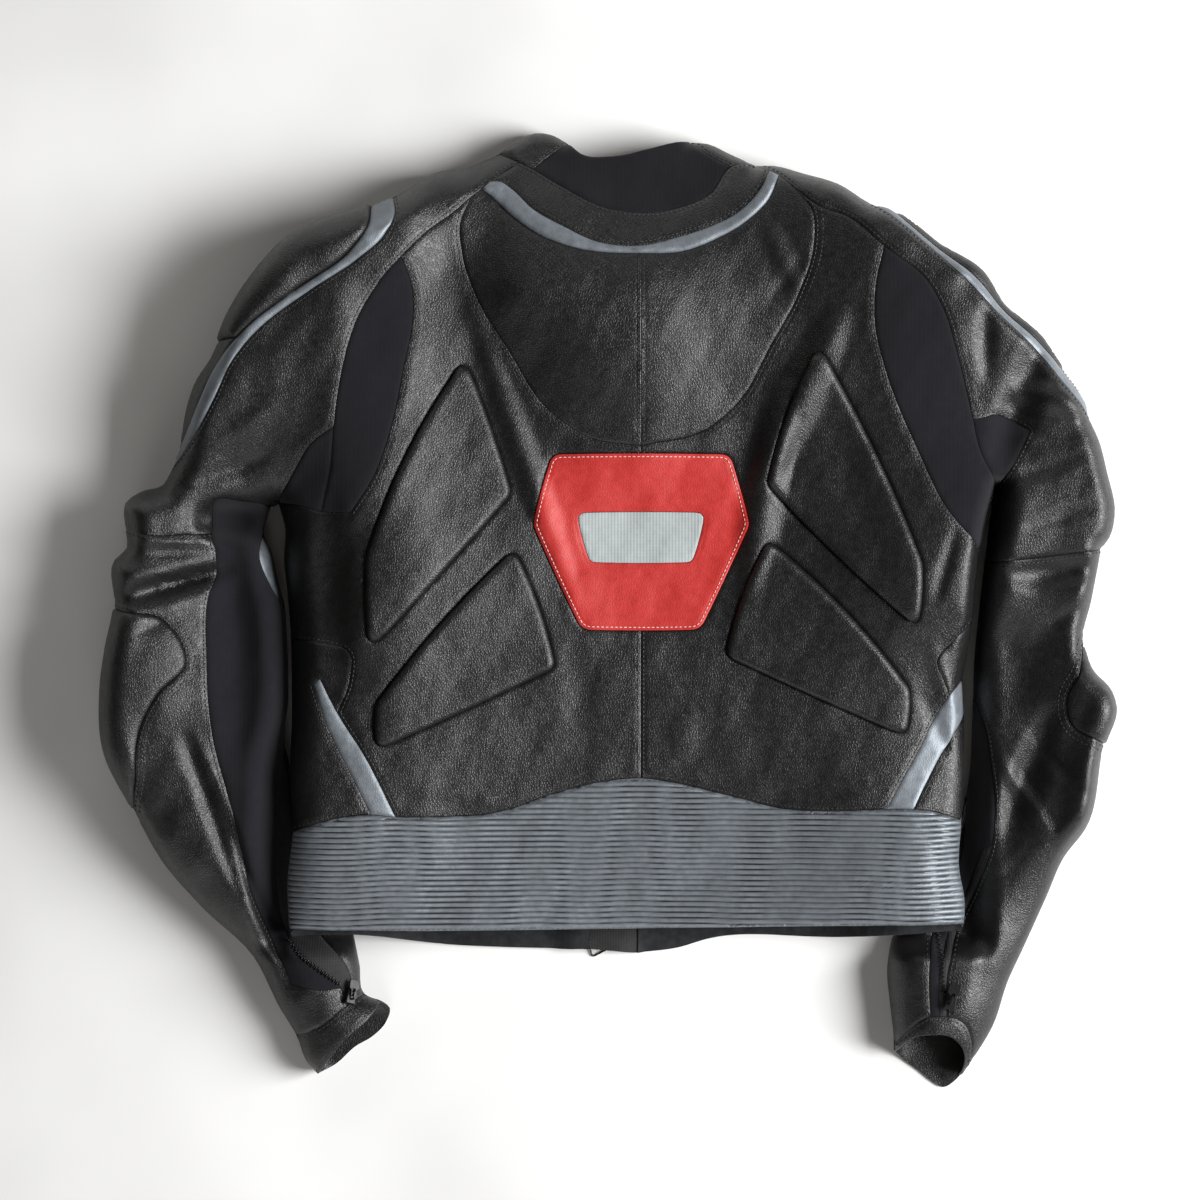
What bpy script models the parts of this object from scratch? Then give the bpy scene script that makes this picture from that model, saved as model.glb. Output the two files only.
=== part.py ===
"""A leather racing jacket lying face down on a flat surface, seen from its back.

The jacket is a set of cut panels, each a thin wall. Seen from above, every panel is a shape between
named seams; its height comes from one rule: the wall stands on a rolled edge along the jacket's outline,
rises to the crown of the filled body or sleeve, and dips or rises at the large folds. The upper panels
face up, and the under panels lie flat on the surface.
"""
import math

import bpy
import numpy as np
from mathutils import Matrix, Vector
from mathutils.geometry import delaunay_2d_cdt

MM = 0.001

# Driving sizes, in mm
LEATHER_WALL = 2.0
STRETCH_WALL = 1.6
BAND_WALL = 2.4
PILE_WALL = 3.0
SEAM_GAP = 0.3
TURN_SHARE = 0.32  # height of the turning line of a rolled edge, as a share of the height there
UNDER_ROLL = 16.0  # how far in from the outline the underside reaches the surface
PANEL_STEP = 18.0  # spacing of an upper panel's points
UNDER_STEP = 42.0  # spacing of an under panel's points
EDGE_ROWS = (3.0, 10.0)  # how far in the two rows of points along a rolled edge lie
PAD_RAISE = 6.0
PAD_ROUND = 9.0
SHOULDER_CAP_RAISE = 5.0
ELBOW_RAISE = 3.0
PLATE_RAISE = 1.2
BAR_RAISE = 0.8
STRIP_RAISE = 0.6
RIB_PITCH = 4.07
RIB_RAISE = 1.3
RIB_COLUMNS = 52.0  # spacing of the points along a rib
SLIVER = 0.02  # twice the area, in mm2, below which a triangle is left out
SLEEVE_UNDER_BODY = 24.0  # height of a sleeve where the body lies on it
BODY_LIFT = 31.0  # how far the body's lower corners are lifted by the sleeves under them

# Zip sliders and their pulls
SLIDER_HEIGHT = 3.2
SLIDER_CLEARANCE = 0.6
BAIL_WIDTH = 1.6
BAIL_REACH = 3.6
BAIL_HEIGHT = 3.9
BAIL_WINDOW = (2.3, 2.7)
PULL_THICK = 1.3
PULL_ARM = (1.25, 2.3)  # inner and outer half width of the arms that pass the bail
PULL_WINDOW_END = 4.8
WIRE_RADIUS = 0.65

# Corners where seams meet, in mm: x from the centre-back seam, y up from the waistband's lower edge
CORNERS = {
    "raglan_top_l": (-90, 569), "stand_end_l": (-112, 554), "nape_l": (-118, 548),
    "yoke_top_l": (-125, 542), "leaf_top_l": (-176, 496), "gusset_top_l": (-226, 371),
    "armpit_l": (-270, 316), "gusset_foot_l": (-236, 309), "leaf_foot_l": (-214, 308),
    "flank_top_l": (-261, 215), "stripe_mid_l": (-224, 161), "stripe_tip_in_l": (-237, 186),
    "stripe_tip_out_l": (-242, 182), "stripe_foot_in_l": (-181, 84), "stripe_foot_out_l": (-199, 86),
    "waist_l": (-258, 73), "hem_l": (-261, 0), "yoke_nape": (0, 500), "yoke_foot": (0, 358),
    "back_foot": (0, 112), "hem_mid": (0, 0), "raglan_top_r": (86, 568), "stand_end_r": (95, 563),
    "nape_r": (102, 559), "yoke_top_r": (109, 553), "leaf_top_r": (178, 504),
    "gusset_top_r": (244, 377), "armpit_r": (263, 328), "leaf_foot_r": (252, 281),
    "flank_top_r": (247, 229), "stripe_mid_r": (228, 173), "stripe_tip_in_r": (240, 185),
    "stripe_tip_out_r": (241, 158), "stripe_foot_in_r": (181, 90), "stripe_foot_out_r": (201, 90),
    "waist_r": (238, 81), "hem_r": (240, 4), "tab_out_l": (-106, 577), "tab_in_l": (-80, 564),
    "tab_top_l": (-54, 585), "tab_top_r": (38, 586), "tab_in_r": (67, 566),
    "strip_top_in_l": (-184, 544), "strip_top_out_l": (-200, 537), "cap_foot_out_l": (-314, 436),
    "cap_foot_in_l": (-297, 437), "strip_end_out_l": (-344, 353), "strip_end_in_l": (-349, 341),
    "notch_l": (-355, 330), "head_foot_l": (-383, 297), "fold_in_l": (-314, 317), "elbow_in_l": (-317, 294),
    "elbow_top_l": (-391, 238), "elbow_foot_l": (-377, 87), "cuff_seam_out_l": (-257, -81),
    "cuff_tip_l": (-241, -110), "zip_end_l": (-218, -57), "cuff_seam_in_l": (-206, -50),
    "edge_in_l": (-194, -55), "zip_foot_l": (-222, -44), "stretch_foot_l": (-260, -41),
    "sleeve_in_l": (-276, 314), "flash_top_l": (-281, 292), "flash_foot_l": (-266, 241),
    "zip_top_in_l": (-263, 124), "zip_top_l": (-265, 132), "zip_end_in_l": (-212, -53),
    "gusset_out_r": (286, 369), "strip_top_r": (171, 539), "cap_top_r": (186, 534),
    "strip_end_r": (329, 392), "cap_end_r": (333, 379), "head_foot_r": (342, 282),
    "elbow_in_r": (256, 272), "stretch_top_r": (248, 170), "elbow_top_r": (329, 215),
    "elbow_foot_r": (344, 137), "zip_top_r": (260, 63), "zip_top_in_r": (254, 60),
    "inner_top_r": (243, 96), "inner_foot_r": (214, -64),
    "zip_end_in_r": (221, -64), "zip_end_r": (226, -64), "cuff_in_r": (189, -86),
    "cuff_out_r": (246, -101), "edge_in_r": (189, -92), "edge_out_r": (240, -110),
    "cuff_tip_r": (227, -121), "front_foot_l": (-259, -5), "front_foot_r": (238, -1),
    "closure_top_l": (-34, 540), "closure_hem_l": (-38, 4), "closure_foot_l": (-38, -17),
    "closure_top_r": (-6, 540), "closure_hem_r": (-3, 4), "closure_foot_r": (-3, -20),
    "closure_collar_l": (-33, 571), "closure_collar_r": (-7, 571),
}

# Seams and edges, each a smooth curve through its corners and the points between them
SEAMS = {
    "raglan_l": ["raglan_top_l", (-101, 562), "stand_end_l", "nape_l", "yoke_top_l", (-137, 531),
        (-155, 517), "leaf_top_l", (-192, 478), (-208, 451), (-219, 416), "gusset_top_l", (-229, 340),
        "gusset_foot_l"],
    "raglan_r": ["raglan_top_r", "stand_end_r", "nape_r", "yoke_top_r", (127, 537), (154, 525),
        "leaf_top_r", (208, 480), (222, 456), (231, 428), "gusset_top_r", (249, 355), "armpit_r"],
    "gusset_l": ["gusset_top_l", (-240, 362), (-260, 332), "armpit_l"],
    "gusset_foot_l": ["armpit_l", (-254, 314), "gusset_foot_l"],
    "leaf_foot_l": ["gusset_foot_l", "leaf_foot_l"],
    "leaf_l": ["leaf_top_l", (-169, 477), (-168, 449), (-174, 418), (-184, 370), (-198, 332),
        "leaf_foot_l"],
    "gusset_top_r": ["gusset_top_r", (264, 380), "gusset_out_r"],
    "gusset_r": ["gusset_out_r", (275, 347), "armpit_r"],
    "leaf_r": ["leaf_top_r", (172, 477), (172, 442), (180, 411), (203, 355), (226, 309), "leaf_foot_r"],
    "body_side_l": ["armpit_l", (-265, 296), (-266, 278), (-263, 244), "flank_top_l", (-260, 170),
        (-260, 111), "waist_l", (-262, 37), "hem_l"],
    "body_side_r": ["armpit_r", (256, 303), "leaf_foot_r", (249, 255), "flank_top_r", (243, 204),
        "stripe_tip_in_r", "stripe_tip_out_r", (240, 118), "waist_r", (236, 46), (240, 22), "hem_r"],
    "flank_l": ["flank_top_l", (-238, 213), (-215, 205), (-215, 185), "stripe_mid_l"],
    "flank_r": ["flank_top_r", (231, 214), (218, 198), (223, 185), "stripe_mid_r"],
    "stripe_in_l": ["stripe_tip_in_l", "stripe_mid_l", (-202, 126), "stripe_foot_in_l"],
    "stripe_out_l": ["stripe_tip_out_l", (-232, 152), (-215, 118), "stripe_foot_out_l"],
    "stripe_tip_l": ["stripe_tip_in_l", "stripe_tip_out_l"],
    "stripe_in_r": ["stripe_tip_in_r", "stripe_mid_r", (205, 132), "stripe_foot_in_r"],
    "stripe_out_r": ["stripe_tip_out_r", (221, 128), "stripe_foot_out_r"],
    "yoke_l": ["yoke_top_l", (-133, 522), (-132, 500), (-118, 460), (-98, 428), (-70, 386), (-38, 364),
        "yoke_foot"],
    "yoke_r": ["yoke_top_r", (126, 531), (127, 507), (115, 468), (94, 429), (75, 394), (46, 369),
        "yoke_foot"],
    "yoke_centre": ["yoke_nape", "yoke_foot"],
    "back_centre": ["yoke_foot", "back_foot"],
    "waist_top": ["waist_l", (-234, 81), "stripe_foot_out_l", "stripe_foot_in_l", (-156, 84), (-102, 88),
        (-67, 100), (-32, 109), "back_foot", (42, 105), (70, 98), (104, 90), (137, 88),
        "stripe_foot_in_r", "stripe_foot_out_r", (221, 87), "waist_r"],
    "nape": ["nape_l", (-110, 542), (-97, 529), (-76, 514), (-53, 505), "yoke_nape", (33, 502), (56, 511),
        (78, 524), (94, 540), "nape_r"],
    "stand_foot": ["stand_end_l", (-104, 554), (-95, 548), (-81, 534), (-59, 521), (-30, 508), (-1, 506),
        (29, 513), (50, 520), (73, 532), (89, 550), "stand_end_r"],
    "stand_top": ["raglan_top_l", "tab_in_l", (-59, 551), (-30, 536), (-1, 531), (29, 535), (51, 545),
        "tab_in_r", (77, 569), "raglan_top_r"],
    "tab_foot_l": ["tab_out_l", "raglan_top_l"],
    "tab_l": ["tab_in_l", (-71, 572), "tab_top_l"],
    "tab_r": ["tab_top_r", (52, 574), "tab_in_r"],
    "collar_edge": ["tab_top_l", (-44, 576), (-22, 574), (7, 580), (27, 585), "tab_top_r"],
    "tab_edge_l": ["tab_out_l", (-92, 587), (-79, 593), (-67, 592), "tab_top_l"],
    "tab_edge_r": ["tab_top_r", (50, 585), (67, 577), "raglan_top_r"],
    "shoulder_edge_l": ["tab_out_l", (-115, 573), (-131, 566), (-155, 562), (-171, 551),
        "strip_top_in_l", "strip_top_out_l", (-219, 531), (-238, 525), (-260, 514), (-280, 494),
        (-295, 474), (-306, 455), "cap_foot_out_l", (-320, 423), (-330, 408), (-338, 385), (-341, 368),
        "strip_end_out_l", "strip_end_in_l", "notch_l", (-371, 325), (-383, 316), "head_foot_l"],
    "forearm_edge_l": ["head_foot_l", (-382, 283), (-391, 274), "elbow_top_l", (-397, 209), (-401, 178),
        (-399, 133), "elbow_foot_l", (-357, 50), (-328, 16), (-289, -22), (-269, -61),
        "cuff_seam_out_l", (-249, -101), "cuff_tip_l"],
    "strip_in_l": ["strip_top_in_l", (-181, 531), (-189, 511), (-208, 494), (-243, 471), (-283, 440),
        (-300, 420), (-314, 391), (-331, 362), "strip_end_in_l"],
    "strip_out_l": ["strip_top_out_l", (-200, 522), (-214, 500), (-250, 474), "cap_foot_in_l", (-312, 419),
        (-325, 392), (-335, 370), "strip_end_out_l"],
    "cap_foot_l": ["cap_foot_out_l", "cap_foot_in_l"],
    "head_foot_l": ["head_foot_l", (-369, 293), (-343, 292), "elbow_in_l"],
    "arm_fold_l": ["sleeve_in_l", (-293, 316), "fold_in_l", "elbow_in_l"],
    "sleeve_side_l": ["sleeve_in_l", "flash_top_l", (-276, 281), (-271, 260), "flash_foot_l", (-264, 215),
        (-263, 170), "zip_top_l", "zip_top_in_l", (-251, 81), (-230, 37), (-215, -5), (-210, -27),
        "cuff_seam_in_l", "edge_in_l"],
    "flash_l": ["flash_top_l", (-282, 277), (-274, 255), "flash_foot_l"],
    "stretch_out_l": ["elbow_in_l", (-313, 274), (-320, 240), (-320, 200), (-316, 144), (-303, 94),
        (-289, 33), (-271, -14), "stretch_foot_l"],
    "stretch_foot_l": ["stretch_foot_l", (-240, -45), "zip_foot_l"],
    "zip_l": ["zip_top_l", (-270, 74), (-269, 22), (-262, -8), (-239, -30), "zip_foot_l", "zip_end_l"],
    "zip_in_l": ["zip_top_in_l", (-258, 74), (-254, 30), (-241, -1), (-218, -27), "zip_end_in_l"],
    "cuff_seam_l": ["cuff_seam_out_l", (-238, -72), "zip_end_l", "zip_end_in_l", "cuff_seam_in_l"],
    "cuff_edge_l": ["cuff_tip_l", (-226, -90), (-217, -80), (-200, -64), "edge_in_l"],
    "cuff_lip_l": ["cuff_tip_l", (-229, -104), (-213, -90), (-201, -83), (-190, -71), (-188, -61),
        "edge_in_l"],
    "elbow_l": ["elbow_top_l", (-376, 235), (-357, 232), (-340, 216), (-335, 198), (-356, 174),
        (-369, 148), (-373, 111), "elbow_foot_l"],
    "shoulder_edge_r": ["raglan_top_r", (99, 568), (121, 562), (147, 554), "strip_top_r",
        "cap_top_r", (199, 525), (221, 507), (252, 487), (268, 463), (294, 441), (314, 414),
        "strip_end_r", "cap_end_r", (340, 363), (346, 340), (352, 307), (348, 290), "head_foot_r"],
    "forearm_edge_r": ["head_foot_r", (335, 244), "elbow_top_r", (334, 194), (349, 176), (352, 165),
        "elbow_foot_r", (331, 74), (315, 52), (303, 24), (286, -14), (274, -40), (263, -73),
        "cuff_out_r", "edge_out_r"],
    "strip_r": ["strip_top_r", (189, 525), (215, 502), (240, 478), (265, 453), (293, 426), (314, 401),
        "cap_end_r"],
    "cap_r": ["cap_top_r", (196, 524), (221, 502), (248, 480), (268, 457), (295, 433), (317, 408),
        "strip_end_r"],
    "head_foot_r": ["head_foot_r", (317, 278), (291, 274), "elbow_in_r"],
    "sleeve_side_r": ["armpit_r", (260, 303), "elbow_in_r", (252, 235), (249, 200), "stretch_top_r",
        "inner_top_r", (236, 70), (218, 33), (198, 11), (188, -9), (184, -30), (186, -56),
        "cuff_in_r", "edge_in_r"],
    "stretch_out_r": ["stretch_top_r", (255, 148), (259, 124), (262, 92), "zip_top_r",
        (249, 30), (236, 0), (227, -30), "zip_end_r"],
    "zip_top_r": ["zip_top_r", "zip_top_in_r"],
    "zip_in_r": ["zip_top_in_r", (243, 30), (230, 0), (221, -30), "zip_end_in_r"],
    "inner_r": ["inner_top_r", (241, 72), (228, 22), (216, -7), (213, -33), "inner_foot_r"],
    "cuff_seam_r": ["cuff_in_r", (198, -75), "inner_foot_r", "zip_end_in_r", "zip_end_r", (240, -70),
        (246, -83), "cuff_out_r"],
    "cuff_edge_r": ["edge_in_r", (200, -81), (214, -78), (228, -79), (238, -87), (242, -98),
        "edge_out_r"],
    "cuff_lip_r": ["edge_in_r", (198, -101), (209, -109), (219, -117), "cuff_tip_r", (235, -116),
        "edge_out_r"],
    "elbow_r": ["elbow_top_r", (323, 191), (314, 174), (316, 154), "elbow_foot_r"],
    "front_raglan_l": ["raglan_top_l", (-127, 496), (-201, 392), "armpit_l"],
    "front_raglan_r": ["raglan_top_r", (140, 488), (206, 400), "armpit_r"],
    "front_neck_l": ["raglan_top_l", (-67, 548), "closure_top_l"],
    "front_neck_r": ["closure_top_r", (44, 549), "raglan_top_r"],
    "closure_l": ["closure_collar_l", "closure_top_l", "closure_hem_l", "closure_foot_l"],
    "closure_r": ["closure_collar_r", "closure_top_r", "closure_hem_r", "closure_foot_r"],
    "front_hem_l": ["hem_l", (-161, -1), "closure_hem_l"],
    "front_hem_r": ["closure_hem_r", (155, 1), "hem_r"],
    "front_edge_l": ["front_foot_l", (-211, -5), (-154, -13), (-97, -16), "closure_foot_l"],
    "front_edge_r": ["closure_foot_r", (29, -16), (49, -10), (149, -8), "front_foot_r"],
    "front_corner_l": ["hem_l", "front_foot_l"],
    "front_corner_r": ["hem_r", "front_foot_r"],
    "closure_foot": ["closure_foot_l", "closure_foot_r"],
    "closure_collar": ["closure_collar_l", "closure_collar_r"],
    "front_collar_edge_l": ["tab_top_l", "closure_collar_l"],
    "front_collar_edge_r": ["closure_collar_r", (18, 577), "tab_top_r"],
    "armpit_l": ["armpit_l", (-273, 314), "sleeve_in_l"],
    "hem": ["hem_l", (-161, -1), "hem_mid", (155, 3), "hem_r"],
}

# Rolled edges of each tube: the radius of the roll, in mm
ROLL = {
    "tab_edge_l": 20, "tab_edge_r": 20, "shoulder_edge_l": 42, "shoulder_edge_r": 42,
    "forearm_edge_l": 38, "forearm_edge_r": 38, "sleeve_side_l": 34, "sleeve_side_r": 34,
    "body_side_l": 34, "body_side_r": 34, "armpit_l": 34,
}

# The sides of each tube: every tuple is one side
TUBES = {
    "body": (
        ("body_side_l", "armpit_l"), ("body_side_r",),
        ("tab_edge_l", "shoulder_edge_l"), ("tab_edge_r", "shoulder_edge_r"),
    ),
    "left": (("tab_edge_l", "shoulder_edge_l", "forearm_edge_l"), ("sleeve_side_l", "armpit_l")),
    "right": (("tab_edge_r", "shoulder_edge_r", "forearm_edge_r"), ("sleeve_side_r",)),
}
CROWN_REACH = 62.0

# Height of the jacket's crown: x, y, height, in mm
CROWNS = [
    (0, 577, 34), (-75, 577, 32), (58, 573, 34), (0, 518, 52), (-75, 544, 50), (73, 548, 50),
    (0, 474, 60), (0, 407, 58), (-104, 466, 70), (110, 481, 72), (-156, 518, 76), (-238, 474, 86),
    (162, 500, 78), (251, 444, 86), (-282, 370, 72), (310, 363, 74), (-200, 407, 66), (199, 414, 68),
    (-245, 326, 60), (255, 333, 62), (-149, 318, 64), (155, 333, 66), (0, 296, 46), (0, 178, 42),
    (-141, 192, 58), (140, 207, 60), (-237, 229, 54), (229, 237, 56), (-223, 59, 58), (-119, 59, 46),
    (0, 52, 36), (118, 59, 46), (206, 59, 58), (0, 0, 32), (-363, 274, 66), (-363, 185, 66),
    (-289, 244, 50), (-352, 111, 60), (-304, 22, 50), (-252, -44, 44), (-223, -89, 36),
    (317, 274, 68), (310, 185, 64), (266, 229, 54), (303, 104, 60), (266, 22, 52), (229, -44, 48),
    (214, -89, 46),
]

# The large folds, troughs with a positive depth and ridges with a negative one:
# tube, start x, start y, end x, end y, half width, depth, in mm
FOLDS = [
    ("left", -262, 302, -330, 304, 24, 26),
    ("left", -395, 240, -300, 268, 14, 10),
    ("left", -302, 300, -296, 110, 24, 10),
    ("left", -340, 150, -255, -50, 14, 8),
    ("right", 262, 262, 345, 268, 18, 9),
    ("all", 296, 440, 262, 340, 22, 9),
    ("right", 268, 400, 338, 382, 16, -7),
    ("right", 306, 170, 264, 50, 18, 9),
    ("body", -112, 445, -80, 340, 16, -6),
    ("body", -88, 370, -56, 255, 16, -5),
    ("body", 142, 440, 90, 350, 24, -9),
    ("body", 98, 385, 80, 262, 22, -9),
    ("body", -228, 320, -222, 190, 20, 10),
    ("body", 212, 350, 216, 200, 15, 8),
]

# Foam-backed pads of the back, corner by corner: x, y, corner radius, bulge of the side that follows
PADS = {
    "pad_upper_left": [(-131, 428, 9, 1), (-95, 323, 13, 0.5), (-202, 203, 9, 0.5), (-203, 277, 26, 5)],
    "pad_lower_left": [(-93, 285, 9, 2), (-62, 194, 10, 0.5), (-197, 132, 9, 0.5), (-196, 168, 12, 3)],
    "pad_upper_right": [(130, 437, 9, 3), (207, 272, 30, 0.5), (205, 220, 8, 2), (92, 330, 10, 3)],
    "pad_lower_right": [(93, 292, 9, 4), (199, 179, 16, 0.5), (197, 142, 9, 0.5), (61, 203, 10, 2)],
}
PLATE = [(-66, 352, 10, 0.5), (66, 352, 10, 0.5), (80, 300, 12, 0.5), (44, 222, 12, 0.5),
         (-44, 222, 12, 0.5), (-80, 300, 12, 0.5)]
PLATE_BAR = [(-48, 309, 6, 0.5), (48, 309, 6, 0.5), (38, 272, 6, 0.5), (-38, 272, 6, 0.5)]

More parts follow.
